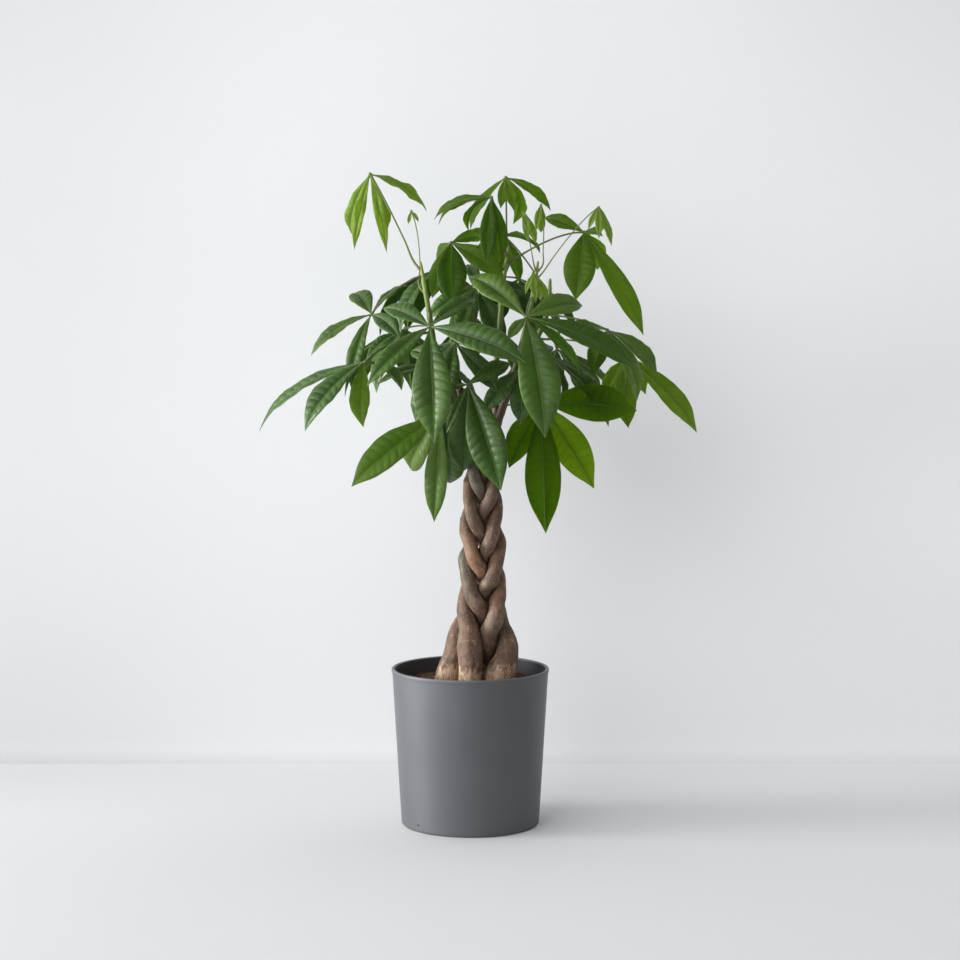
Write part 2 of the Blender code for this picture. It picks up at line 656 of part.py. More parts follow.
def build_stem(name, line, radii, home, material):
    dress(rod("stem_" + name, line, radii, STEM_SIDES_STEP, home), material, 50)


def build_leaf(name, stalk, radii, blades, home, joining, material):
    """A leaf stalk with its leaflets fused to the knob at its end."""
    slim = radii[0] / PETIOLE_FOOT
    leaf = rod(name, stalk, radii, STALK_SIDES_STEP, home)
    knob = bmesh.new()
    bmesh.ops.create_icosphere(knob, subdivisions=1, radius=KNOB * slim, matrix=Matrix.Translation(stalk[-1]))
    mesh = bpy.data.meshes.new("knob")
    knob.to_mesh(mesh)
    knob.free()
    add_object("knob", mesh, joining)
    for number, blade in enumerate(blades):
        stations = FEWER_STATIONS if blade.length < SHORT_BLADE else BLADE_STATIONS
        rings = blade_rings(blade, stations, BLADE_RIB, BLADE_EDGE)
        add_mesh(f"leaflet_{number}", rings.reshape(-1, 3), blade_faces(len(rings)), joining)
    dress(combine(leaf, "UNION", joining), material, 35)


def main():
    clear_scene()
    home = collection("potted_money_tree")
    cutters = collection("cutters", hidden=True)
    joining = collection("joining", hidden=True)
    pot_grey = finish("pot_grey", (0.16, 0.165, 0.175), 0.55)
    soil_brown = finish("soil_brown", (0.09, 0.05, 0.03), 0.95)
    bark = finish("bark", (0.24, 0.17, 0.12), 0.85)
    leaf_green = finish("leaf_green", (0.06, 0.17, 0.05), 0.4, 0.1)
    leaf_young = finish("leaf_young", (0.22, 0.36, 0.06), 0.45, 0.05)

    stems = grow_stems()
    build_pot(home, pot_grey)
    build_soil(home, cutters, soil_brown, stems)
    for name, (line, radii) in stems.items():
        build_stem(name, line, radii, home, bark)
    for order, (name, (stalk, radii, blades)) in enumerate(grow_leaves(stems).items()):
        green = leaf_green if order < len(LEAVES) else leaf_young
        build_leaf(name, stalk, radii, blades, home, joining, green)


if __name__ == "__main__":
    main()
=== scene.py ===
"""Potted money tree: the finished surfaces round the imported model.

Five braided stems, their leaves, the soil and the pot are each made again with a finer surface on the form
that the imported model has. Metres, +Z up, the front is -Y. Lay-out: sizes, growth, shared tools, finishes,
pieces, operators.
"""

import math
import random
from collections import namedtuple

import bmesh
import bpy
import numpy as np
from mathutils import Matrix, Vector, noise
from mathutils.bvhtree import BVHTree


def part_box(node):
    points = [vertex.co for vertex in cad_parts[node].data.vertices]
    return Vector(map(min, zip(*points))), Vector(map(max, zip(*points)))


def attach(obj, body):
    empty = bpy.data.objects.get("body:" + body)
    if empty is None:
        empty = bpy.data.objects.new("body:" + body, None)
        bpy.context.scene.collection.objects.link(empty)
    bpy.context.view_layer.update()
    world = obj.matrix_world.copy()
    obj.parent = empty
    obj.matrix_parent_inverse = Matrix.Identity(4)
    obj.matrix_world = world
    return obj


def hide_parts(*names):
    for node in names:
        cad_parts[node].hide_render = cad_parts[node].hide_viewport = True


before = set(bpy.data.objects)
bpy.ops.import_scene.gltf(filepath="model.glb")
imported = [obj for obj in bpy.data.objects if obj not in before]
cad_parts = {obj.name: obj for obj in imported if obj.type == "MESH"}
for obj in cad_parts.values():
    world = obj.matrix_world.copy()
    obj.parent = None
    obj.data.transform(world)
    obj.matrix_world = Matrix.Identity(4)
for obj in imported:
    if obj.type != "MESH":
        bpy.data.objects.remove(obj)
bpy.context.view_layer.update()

bl_info = {
    "name": "Potted Money Tree",
    "version": (1, 0, 0),
    "blender": (4, 5, 0),
    "location": "3D View > Sidebar > Money Tree",
    "description": "Builds a braided money tree in a grey pot, piece by piece",
    "category": "Object",
}

MM = 0.001
POT_LOW, POT_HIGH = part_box("pot")
POT_HEIGHT = POT_HIGH.z
RIM_RADIUS = (POT_HIGH.x - POT_LOW.x) / 2

# ---- growth: the same course for every stem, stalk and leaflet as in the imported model

TOUCH = 0.3 * MM  # gap kept between pieces that touch
SOIL_TOP = 0.202
SOIL_CROWN = 0.003  # how far the soil rises from the wall to the middle

# The braid: each stem follows a figure of eight, seen from above, as it goes down
BRAID_MIDDLE = 0.017  # the braid stands a little to the right of the pot's axis
BRAID_WIDE = 0.0150
BRAID_DEEP = 0.0190
BRAID_TOP = 0.515
BRAID_DATUM = 0.504  # the phases below are those at this height
BRAID_FOOT = 0.287
BRAID_TURN = 0.268  # height of one whole figure of eight
STEM_FOOT = 0.172  # how deep the stems stand in the soil
STEM_STEP = 0.004
STEM_GAP = 1.5 * TOUCH  # the sides of a stem lie a little inside its girth
STEM_FLATS = 0.97  # how far out a stem's sides lie on average, over its girth
STEM_TIP = 0.6  # a stem's last radius, over its girth there
SWELLING_TOP = 0.25  # a stem's foot swells over the stretch below this height
SWELLING_DEEP = 0.045
PUSH_ROUNDS = 128
STRAIGHTENING = 0.12  # how far each round eases a point of a stem's middle towards those beside it
SETTLE_ROUNDS = 60
# Height in m and radius in mm
GIRTH = ((0.16, 19.5), (0.205, 20.0), (0.24, 15.2), (0.28, 12.0), (0.32, 10.4), (0.36, 9.6),
         (0.45, 8.7), (0.50, 7.6), (0.56, 5.8), (0.62, 4.6), (0.75, 3.3), (0.82, 2.2))
USUAL_FOOT = 20  # the foot's radius in mm that the girths above are for

# name, phase in degrees, foot (x, y, radius) and the course above the braid (x, y, z), in mm
Stem = namedtuple("Stem", "name phase foot course")
STEMS = (
    Stem("left", 24, (-33, -4, 18), ((-2, -16, 545), (-40, -38, 624), (-54, -48, 706), (-67, -40, 782))),
    Stem("centre_right", -118, (35, -7, 23), ((38, -12, 566), (52, -10, 603), (69, -20, 664), (85, -20, 733),
                                               (93, -20, 784))),
    Stem("centre_left", 169, (-20, 32, 17), ((38, 10, 566), (33, 10, 601), (40, 4, 678), (45, -4, 753),
                                             (53, -8, 805))),
    Stem("right", 97.5, (-1, -35, 15), ((16, 12, 540), (26, 36, 578), (52, 50, 622), (88, 56, 668),
                                        (108, 54, 710), (112, 60, 758))),
    Stem("back", -47, (19, 28, 17), ((0, 34, 552), (-16, 62, 610), (-24, 88, 680), (-16, 104, 750))),
)

# The leaves
PETIOLE = 1.6 * MM
PETIOLE_FOOT = 2.3 * MM
KNOB = 3.0 * MM
BLADE_ROOT = 1.3 * MM  # half width where a leaflet leaves the hub, when it is tried
BLADE_TIP = 0.9 * MM
BLADE_WIDTH = 0.35  # of its length
BLADE_FOLD = math.radians(15)
STRAIGHTER_TIP = 0.3  # how much of its fold a leaflet has lost at its tip
BLADE_ROLL = 9  # degrees, at most
BLADE_TWIST = 14
RIPPLE = 0.9 * MM
YOUNG_RIPPLE = 0.5 * MM
RIPPLE_WAVES = 5  # half waves of a leaflet's margin
RIPPLE_SHIFT = 2.1  # radians between the two margins' waves
ROOM = 1.5 * MM  # half the space kept free for a leaflet, across its face

# The stem that carries the leaf, the height in mm where the leaf stalk leaves it, the hub (x, y, z) in mm,
# the heading and pitch that its upper side faces, how far its leaflets arch over their length, and the
# leaflets. Each leaflet is its heading and droop in degrees, its length in mm and, where it isn't the usual,
# its width over its length. Heading 0 is +X and 90 is the back.
Leaf = namedtuple("Leaf", "stem height hub facing arch leaflets")
UPWARD = (0, 90)
LEAVES = (
    Leaf("left", 715, (-53, -130, 699), (-90, 38), 0.07,
         ((-80, 76, 156), (-18, 18, 140), (-144, 36, 124, 0.24), (144, -18, 84, 0.4), (44, -24, 94, 0.28))),
    Leaf("centre_right", 735, (75, -120, 711), (-85, 40), 0.08,
         ((-60, 72, 164), (142, -30, 114), (38, -10, 102), (8, 24, 168, 0.24), (38, 38, 126, 0.18),
          (-134, 52, 46))),
    Leaf("centre_left", 635, (-2, -90, 620), (-90, 25), 0.07,
         ((-38, 68, 150), (-156, 70, 72, 0.2), (28, -24, 72), (150, 10, 62), (96, 56, 140))),
    Leaf("left", 690, (-141, -90, 651), (-120, 58), 0.08,
         ((-154, 44, 126), (166, 30, 180, 0.2), (-110, 82, 88, 0.36), (56, 24, 94, 0.4), (32, -30, 64))),
    Leaf("left", 765, (-134, -50, 714), (-110, 66), 0.08,
         ((-174, 32, 100, 0.24), (-134, 60, 106, 0.22), (-52, 24, 70, 0.4), (118, -28, 64, 0.5),
          (46, -30, 82, 0.24))),
    Leaf("left", 615, (-39, -70, 579), (-90, 30), 0.06,
         ((180, 38, 158, 0.31), (120, 82, 152, 0.22), (116, 38, 140), (68, 44, 136), (70, 14, 120))),
    Leaf("centre_right", 715, (188, -30, 692), (-70, 60), 0.08,
         ((-8, 40, 92), (-154, 0, 70), (24, 64, 112), (66, 58, 104), (106, 46, 88))),
    Leaf("right", 565, (98, -20, 592), (90, 20), 0.07,
         ((-60, 86, 180, 0.29), (22, 56, 144), (0, 4, 132, 0.42), (152, 54, 104, 0.42), (100, -16, 96))),
    Leaf("right", 620, (114, 10, 652), (-80, 60), 0.08,
         ((10, 26, 126), (68, 52, 72), (-12, 30, 56, 0.22), (120, 42, 80), (150, 6, 60))),
    Leaf("right", 680, (222, 50, 651), (100, 45), 0.08,
         ((-6, 46, 142, 0.24), (-96, 78, 100), (68, 34, 92), (126, 40, 80))),
    Leaf("centre_left", 785, (157, 0, 826), (-90, 25), 0.08,
         ((14, 58, 168, 0.18), (-112, 70, 98, 0.46), (162, -6, 62), (-60, 6, 46), (70, 34, 90))),
    Leaf("centre_left", 795, (29, -50, 872), (-90, 50), 0.12,
         ((166, 18, 86, 0.24), (146, 20, 96, 0.24), (116, 28, 88, 0.3), (-102, 72, 94, 0.26),
          (-24, 74, 88, 0.3))),
    Leaf("centre_left", 800, (49, 10, 901), (-90, 46), 0.11,
         ((150, 50, 92, 0.2), (-126, 74, 44, 0.32), (-70, 54, 56, 0.34), (8, 34, 78, 0.26), (78, 40, 94))),
    Leaf("left", 780, (-136, -30, 904), (-90, 42), 0.12,
         ((-138, 74, 106, 0.18), (-52, 70, 112, 0.18), (8, 38, 92, 0.28), (116, 52, 108, 0.24),
          (78, 52, 114, 0.24))),
    Leaf("centre_left", 775, (-26, -30, 811), (-90, 30), 0.08,
         ((-88, 64, 100, 0.42), (-164, 56, 80, 0.34), (-10, 32, 88, 0.36), (42, -8, 60), (104, 26, 80))),
    Leaf("right", 745, (46, 60, 822), (-90, 60), 0.08,
         ((180, 2, 64, 0.36), (-22, 68, 70, 0.3), (94, 48, 92), (48, 14, 84), (112, 22, 94))),
    Leaf("left", 670, (-20, -65, 675), (-90, 35), 0.06,
         ((-112, 70, 84), (-16, 62, 88), (20, 8, 78), (150, 40, 64), (60, -54, 76))),
    Leaf("centre_right", 670, (71, -45, 641), (-90, 35), 0.06,
         ((-162, 40, 84), (-98, 74, 78, 0.42), (-12, 44, 70), (130, -36, 72), (66, -20, 88))),
    Leaf("centre_left", 735, (11, 35, 750), (-90, 35), 0.06,
         ((-176, 30, 84), (-128, 56, 104), (-36, 52, 96), (4, 6, 72), (108, -36, 58))),
    Leaf("back", 615, (-42, 30, 641), (-110, 50), 0.07,
         ((-162, 14, 96, 0.26), (144, 58, 92), (-26, 76, 92), (126, -16, 76), (50, 34, 78))),
    Leaf("back", 740, (-50, 150, 775), UPWARD, 0.09, ()),
    Leaf("back", 745, (70, 165, 762), UPWARD, 0.09, ()),
    Leaf("back", 690, (-95, 130, 690), UPWARD, 0.09, ()),
    Leaf("back", 700, (10, 205, 700), UPWARD, 0.09, ()),
    Leaf("right", 690, (125, 150, 660), UPWARD, 0.09, ()),
    Leaf("back", 640, (-30, 165, 610), UPWARD, 0.09, ()),
)
SHOOTS = (
    Leaf("centre_right", 775, (72, -40, 853), (-90, 40), 0.1,
         ((-56, 74, 42, 0.24), (36, 70, 50, 0.24), (-76, 46, 44, 0.24))),
    Leaf("centre_right", 775, (97, -20, 863), (-90, 40), 0.1,
         ((-106, 62, 44, 0.24), (-62, 68, 30, 0.24), (88, 64, 46, 0.24))),
    Leaf("centre_right", 765, (176, -20, 860), (-90, 40), 0.1,
         ((0, 78, 56, 0.2), (-92, 66, 50, 0.24), (180, 78, 34, 0.24), (82, 40, 52, 0.24))),
    Leaf("centre_right", 745, (86, -30, 770), (-90, 40), 0.1,
         ((0, 62, 46, 0.24), (-98, 66, 50, 0.24), (180, 70, 30, 0.24), (68, 50, 50, 0.24))),
    Leaf("left", 775, (-80, -35, 854), (-90, 40), 0.1, ((-154, 76, 18, 0.3), (-26, 76, 18, 0.3))),
)
# A leaf with no leaflets listed gets these, turned to face away from the crown's middle
FAN = ((0, 40, 136), (46, 46, 130), (-48, 42, 132), (96, 54, 108), (-100, 52, 112))
CROWN_MIDDLE = (20, 10)

# The other ways that a stalk or a leaflet tries when something is in its way
STALK_BOWS = (0, 10, -10, 20, -20, 32, -32)  # mm sideways
STALK_RISES = (0.12, 0.30, 0.0, -0.16)
STALK_SHIFTS = (0, -14, 14, -28, 28, -45)  # mm along the stem
BLADE_SWINGS = (0, 7, -7, 14, -14, 22, -22, 30, -30, 40, -40)
BLADE_LENGTHS = (1.0, 0.88, 0.76, 0.62)
BLADE_TRIAL = np.linspace(0.06, 1.02, 9)  # the stations at which a leaflet is tried
STALK_ROOM = 1.2 * MM
STALK_CLIMB = 1.8  # how steeply a stalk that goes straight up leaves its stem
STALK_TOP_GAP = 6 * MM  # a stalk leaves its stem at least this far below the tip
NECK = 5 * MM  # the straight first stretch of a stalk
STALK_ARCH = 0.12  # how far a stalk bows away from its stem, over its span
SHIFT_COST = 20  # mm of bow or shift that count as much as the next rise
SHORT_COST = 90  # degrees of swing that count as much as a leaflet's whole length
STEM_ROOM = 1.0 * MM
BLADE_ROOM = 0.8 * MM
SHOOT_SLIM = 0.62  # a shoot's stalk and knob, over a leaf's
ASIDE = (0.31, 0.87, 0.11)  # a direction that no stem or stalk runs along


def unit(vector):
    return vector / np.linalg.norm(vector)


def direction(heading, droop):
    heading, droop = math.radians(heading), math.radians(droop)
    level = math.cos(droop)
    return np.array((level * math.cos(heading), level * math.sin(heading), -math.sin(droop)))


def held(amount):
    """The amount held between 0 and 1."""
    return min(max(amount, 0.0), 1.0)


def ease(amount):
    amount = held(amount)
    return amount * amount * (3 - 2 * amount)


def curve_at(knots, values, places):
    """Smooth values at the places, through those given at the knots."""
    slopes = np.gradient(values, knots, axis=0)
    upper = np.clip(np.searchsorted(knots, places), 1, len(knots) - 1)
    span = (knots[upper] - knots[upper - 1])[:, None]
    t = (places - knots[upper - 1])[:, None] / span
    return ((1 + 2 * t) * (1 - t) ** 2 * values[upper - 1] + t * t * (3 - 2 * t) * values[upper]
            + span * t * (1 - t) * ((1 - t) * slopes[upper - 1] - t * slopes[upper]))


def braid_place(phase, height):
    turn = math.radians(phase) + 2 * math.pi * (BRAID_DATUM - max(height, BRAID_FOOT)) / BRAID_TURN
    return np.array((BRAID_MIDDLE - BRAID_WIDE * math.cos(turn), -BRAID_DEEP * math.sin(2 * turn)))


def rough_line(stem):
    """The stem's middle from its foot, through the braid and along its own course to its tip."""
    foot = np.array(stem.foot[:2]) * MM
    course = [tuple(np.array(point) * MM) for point in stem.course]
    heights = np.arange(STEM_FOOT, course[-1][2] + STEM_STEP / 2, STEM_STEP)
    braided = []
    for height in heights[heights < BRAID_TOP]:
        place = braid_place(stem.phase, height)
        spread = ease((BRAID_FOOT - height) / (BRAID_FOOT - SOIL_TOP))
        braided.append((*(place + (foot - place) * spread), height))
    free = heights[heights >= BRAID_TOP]
    controls = np.array(braided[-3::2] + course)
    places = curve_at(controls[:, 2], controls[:, :2], free)
    return np.vstack((braided, np.column_stack((places, free))))


def girth(stem, heights):
    """The stem's radius at each height, with its own foot's swelling."""
    table = np.array(GIRTH)
    radii = np.interp(heights, table[:, 0], table[:, 1])
    swelling = np.array([ease((SWELLING_TOP - height) / SWELLING_DEEP) for height in heights])
    return radii * (1 + (stem.foot[2] / USUAL_FOOT - 1) * swelling) * MM


def knots_of(line):
    """The rows of a stem's line that its solid is built on: closer through the braid than above it."""
    buried = int((line[:, 2] < SOIL_TOP).sum())
    braided = int((line[:, 2] < BRAID_TOP + 0.06).sum())
    return [0, buried // 2, *range(buried, braided, 3), *range(braided + 3, len(line) - 3, 6), len(line) - 1]


def spans_of(line):
    """How much of each knot's move every row of the line takes, so that it stays straight between knots."""
    knots = knots_of(line)
    each = np.eye(len(knots))
    return np.array([np.interp(np.arange(len(line)), knots, row) for row in each]).T


def pushes(lines, radii, one):
    """Sideways moves that take one stem out of the others, each at its worst place."""
    moved = np.zeros((len(lines[one]), 2))
    for other in range(len(lines)):
        if one == other:
            continue
        gaps = lines[one][:, None, :] - lines[other][None, :, :]
        far = np.linalg.norm(gaps, axis=2)
        short = radii[one][:, None] + radii[other][None, :] + STEM_GAP - far
        worst = short.argmax(axis=1)
        rows = np.arange(len(worst))
        need = np.clip(short[rows, worst], 0, None)
        away = gaps[rows, worst, :2]
        away = away / (np.linalg.norm(away, axis=1, keepdims=True) + 1e-9)
        moved += 0.5 * need[:, None] * away
    return moved


def push_apart(lines, radii):
    """Moves the stems' middles sideways until none runs into another."""
    for _ in range(PUSH_ROUNDS):
        for one, line in enumerate(lines):
            line[:, :2] += pushes(lines, radii, one)
        for line in lines:
            middle = (line[:-2, :2] + line[2:, :2]) / 2
            line[1:-1, :2] += STRAIGHTENING * (middle - line[1:-1, :2])
    spans = [spans_of(line) for line in lines]
    for line, span in zip(lines, spans):
        line[:, :2] = span @ line[knots_of(line), :2]
    for _ in range(SETTLE_ROUNDS):
        for one, (line, span) in enumerate(zip(lines, spans)):
            moved = pushes(lines, radii, one)
            line[:, :2] += span @ ((span.T @ moved) / (span ** 2).sum(axis=0)[:, None])
    return lines


def grow_stems():
    """name -> (middle points, radii), from foot to tip."""
    lines = [rough_line(stem) for stem in STEMS]
    radii = [girth(stem, line[:, 2]) for stem, line in zip(STEMS, lines)]
    grown = {}
    for stem, line, radius in zip(STEMS, push_apart(lines, radii), radii):
        radius[-1] *= STEM_TIP
        knots = knots_of(line)
        grown[stem.name] = (line[knots], radius[knots])
    return grown


class Thicket:
    """What has grown so far, as slightly swollen shells that a new piece must not cross."""

    def __init__(self):
        self.shells = []

    def add(self, owner, points, faces):
        points = np.asarray(points)
        self.shells.append((owner, shell_tree(points, faces), points.min(axis=0), points.max(axis=0)))

    def is_clear(self, points, faces, skip=None, only=None):
        """Whether these faces cross no shell, or none but the skipped owner's, or none of one owner's."""
        low, high = points.min(axis=0), points.max(axis=0)
        tree = None
        for name, other, other_low, other_high in self.shells:
            if name == skip or (only and name != only):
                continue
            if (low > other_high).any() or (high < other_low).any():
                continue
            tree = tree or shell_tree(points, faces)
            if tree.overlap(other):
                return False
        return True


def shell_tree(points, faces):
    return BVHTree.FromPolygons([Vector(point) for point in points], faces)


def tube_faces(rings, sides):
    """Quads between rings of points, then one face at each end."""
    faces = []
    for ring in range(rings - 1):
        low = ring * sides
        for side in range(sides):
            after = (side + 1) % sides
            faces.append((low + side, low + after, low + sides + after, low + sides + side))
    faces.append(tuple(range(sides - 1, -1, -1)))
    faces.append(tuple(range((rings - 1) * sides, rings * sides)))
    return faces


def tube(points, radii, sides=5):
    """(points, faces) of an open tube round a line."""
    rings = []
    for place, tangent, radius in zip(points, np.gradient(points, axis=0), radii):
        tangent = unit(tangent)
        across = unit(np.cross(tangent, ASIDE))
        over = np.cross(tangent, across)
        for side in range(sides):
            turn = 2 * math.pi * side / sides
            rings.append(place + radius * (math.cos(turn) * across + math.sin(turn) * over))
    return np.array(rings), tube_faces(len(points), sides)[:-2]


def stalk_line(stem, height, hub, bow, rise, slim):
    """The leaf stalk's middle: out of the stem, steeper the more it climbs, then one arch to the hub."""
    line, radii = stem
    height = min(height, line[-1, 2] - STALK_TOP_GAP)
    root = np.array([np.interp(height, line[:, 2], line[:, axis]) for axis in range(3)])
    below = np.array([np.interp(height - 8 * MM, line[:, 2], line[:, axis]) for axis in range(3)])
    radius = np.interp(height, line[:, 2], radii)
    grain = unit(root - below)
    reach = hub - root
    out = unit(reach * (1, 1, 0.2) - grain * np.dot(reach * (1, 1, 0.2), grain))
    climb = STALK_CLIMB * max(0.0, np.dot(unit(reach), grain))
    leaving = unit(out + grain * climb)
    start = root + out * (radius * STEM_FLATS + TOUCH + PETIOLE_FOOT * slim * np.dot(leaving, grain))
    neck = start + leaving * NECK
    span = np.linalg.norm(hub - neck)
    aside = unit(np.cross(reach, (0, 0, 1)))
    bend = (neck + hub) / 2 + np.array((0, 0, rise * span)) + aside * bow * MM + leaving * STALK_ARCH * span
    points = [start]
    for t in np.linspace(0, 1, 6):
        points.append(neck * (1 - t) ** 2 + bend * 2 * t * (1 - t) + hub * t * t)
    return np.array(points)


def stalk_radii(count, slim):
    return np.interp(np.arange(count), (0, 1, 2, count - 2, count - 1),
                     (PETIOLE_FOOT, PETIOLE_FOOT, PETIOLE, PETIOLE, PETIOLE * 1.2)) * slim


def grow_stalk(leaf, stems, thicket, owner, slim):
    """The first course of the leaf's stalk that is clear of what has grown."""
    hub = np.array(leaf.hub) * MM
    tries = [(abs(bow) / SHIFT_COST + index + abs(shift) / SHIFT_COST, bow, rise, shift)
             for bow in STALK_BOWS for index, rise in enumerate(STALK_RISES) for shift in STALK_SHIFTS]
    for _, bow, rise, shift in sorted(tries, key=lambda way: way[0]):
        line = stalk_line(stems[leaf.stem], (leaf.height + shift) * MM, hub, bow, rise, slim)
        radii = stalk_radii(len(line), slim)
        beyond = line[-1] + unit(line[-1] - line[-2]) * KNOB
        line_on, radii_on = np.vstack((line, beyond)), np.append(radii, KNOB * slim) + STALK_ROOM
        points, faces = tube(line_on, radii_on)
        own_stem = "stem_" + leaf.stem
        if (thicket.is_clear(points, faces, skip=own_stem)
                and thicket.is_clear(*tube(line_on[2:], radii_on[2:]), only=own_stem)):
            break
    thicket.add(owner, points, faces)
    return line, radii


Blade = namedtuple("Blade", "hub along upper length width arch roll twist ripple phase")


def outline(u):
    """Half width along a leaflet: tapered to the hub, widest past the middle, drawn out to a tip."""
    return math.sin(math.pi * min(u, 1.0) ** 1.22) ** 0.92 * (1 - 0.25 * ease((u - 0.8) / 0.2))


def blade_frames(blade, u):
    """(middle, across, face) at stations along a leaflet's arch, from 0 at the hub to 1 at the tip."""
    u = u[..., None]
    bow = blade.upper * blade.arch * blade.length * 4
    middle = blade.hub + blade.along * blade.length * u + bow * u * (1 - u)
    tangent = blade.along * blade.length + bow * (1 - 2 * u)
    tangent = tangent / np.linalg.norm(tangent, axis=-1, keepdims=True)
    side = np.cross(blade.along, blade.upper)
    roll = blade.roll + blade.twist * u
    across = side * np.cos(roll) + np.cross(tangent, side) * np.sin(roll)
    return middle, across, np.cross(across, tangent)


def trial_rings(blade):
    """Rings of six points along a leaflet: left, rib and right on its face, then right, rib, left below."""
    middle, across, face = blade_frames(blade, BLADE_TRIAL)
    u = BLADE_TRIAL[:, None]
    plump = np.vectorize(outline)(u)
    least = BLADE_ROOT + (BLADE_TIP - BLADE_ROOT) * u
    wide = np.maximum(blade.width / 2 * plump, least) + BLADE_ROOM
    fold = BLADE_FOLD * (1 - STRAIGHTER_TIP * u)
    wave = RIPPLE_WAVES * math.pi * u + blade.phase
    rise = wide * np.sin(fold)
    level = across * wide * np.cos(fold)
    left = middle - level + face * (rise + blade.ripple * plump * np.sin(wave))
    right = middle + level + face * (rise + blade.ripple * plump * np.sin(wave + RIPPLE_SHIFT))
    thick = face * ROOM * (1 - 0.45 * u)
    edge = face * ROOM
    rings = (left + edge, middle + thick, right + edge, right - edge, middle - thick, left - edge)
    return np.stack(rings, axis=1)


def blade_faces(count):
    """Triangles over the rings, split alike on the upper and the lower face, with both ends closed."""
    faces = [(0, 1, 4, 5), (1, 2, 3, 4)]
    for ring in range(count - 1):
        low, high = 6 * ring, 6 * (ring + 1)
        for first in range(6):
            after = (first + 1) % 6
            if first in (0, 3):
                middle, final = high + first, low + after
            else:
                middle, final = high + after, low + first
            faces += [(low + first, low + after, middle), (final, high + after, high + first)]
    last = 6 * (count - 1)
    faces += [(last + 5, last + 4, last + 1, last), (last + 4, last + 3, last + 2, last + 1)]
    return faces


def shape_blade(leaf, heading, droop, length, width, draw, young):
    hub = np.array(leaf.hub) * MM
    along = direction(heading, droop)
    facing = direction(leaf.facing[0], -leaf.facing[1])
    upper = unit(facing - along * np.dot(facing, along))
    ripple = YOUNG_RIPPLE if young else RIPPLE
    return Blade(hub, along, upper, length * MM, length * width * MM, leaf.arch, math.radians(draw[0]),
                 math.radians(draw[1]), ripple, draw[2])


def grow_blade(blade_of, thicket, owner):
    """The leaflet nearest to the wanted one that is clear of what has grown."""
    tries = [(abs(swing) + abs(lift) + SHORT_COST * (1 - size), swing, lift, size)
             for size in BLADE_LENGTHS for swing in BLADE_SWINGS for lift in BLADE_SWINGS]
    for _, swing, lift, size in sorted(tries, key=lambda way: way[0]):
        blade = blade_of(swing, lift, size)
        points = trial_rings(blade).reshape(-1, 3)
        faces = blade_faces(len(BLADE_TRIAL))
        outer = (points[12:], blade_faces(len(BLADE_TRIAL) - 2))
        if thicket.is_clear(points, faces, skip=owner) and thicket.is_clear(*outer, only=owner):
            thicket.add(owner, points, faces)
            return blade
    return None


def leaflets_of(leaf):
    if leaf.leaflets:
        return leaf.leaflets
    away = math.degrees(math.atan2(leaf.hub[1] - CROWN_MIDDLE[1], leaf.hub[0] - CROWN_MIDDLE[0]))
    return tuple((away + heading, droop, length) for heading, droop, length in FAN)


def grow_leaves(stems):
    """owner -> (stalk middle, stalk radii, blades), for the leaves and then the shoots."""
    thicket = Thicket()
    for name, (line, radii) in stems.items():
        thicket.add("stem_" + name, *tube(line, radii + STEM_ROOM, 8))
    plants = [(f"leaf_{number:02d}", leaf, False) for number, leaf in enumerate(LEAVES, 1)]
    plants += [(f"shoot_{number}", shoot, True) for number, shoot in enumerate(SHOOTS, 1)]
    grown = {}
    for owner, leaf, young in plants:
        grown[owner] = (*grow_stalk(leaf, stems, thicket, owner, SHOOT_SLIM if young else 1.0), [])
    for order, (owner, leaf, young) in enumerate(plants):
        chance = random.Random(order)
        for heading, droop, length, *special in leaflets_of(leaf):
            width = special[0] if special else BLADE_WIDTH
            draw = (chance.uniform(-BLADE_ROLL, BLADE_ROLL), chance.uniform(-BLADE_TWIST, BLADE_TWIST),
                    chance.uniform(0, 6))

            def blade_of(swing, lift, size):
                return shape_blade(leaf, heading + swing, droop - lift, length * size, width, draw, young)

            blade = grow_blade(blade_of, thicket, owner)
            if blade:
                grown[owner][2].append(blade)
    return grown


# ---- shared tools


class Link:
    """One output of a node tree, which takes part in sums with numbers and other outputs."""

    def __init__(self, board, socket):
        self.board = board
        self.socket = socket

    def sum(self, operation, *others):
        return self.board.node("ShaderNodeMath", {"operation": operation}, (self, *others))

    def __add__(self, other):
        return self.sum("ADD", other)

    def __radd__(self, other):
        return self.sum("ADD", other)

    def __sub__(self, other):
        return self.sum("SUBTRACT", other)

    def __rsub__(self, other):
        return self.board.node("ShaderNodeMath", {"operation": "SUBTRACT"}, (other, self))

    def __mul__(self, other):
        return self.sum("MULTIPLY", other)

    def __pow__(self, other):
        return self.sum("POWER", other)

    def size(self):
        return self.sum("ABSOLUTE")

    def below(self, limit):
        return self.sum("LESS_THAN", limit)

    def held(self):
        """The value held between 0 and 1."""
        return self.board.node("ShaderNodeClamp", values={"Value": self})

    def step(self, low, high):
        """A soft step from 0 at low to 1 at high, which may be given the other way round."""
        return self.board.node("ShaderNodeMapRange", {"interpolation_type": "SMOOTHSTEP"},
                               {"Value": self, "From Min": low, "From Max": high})


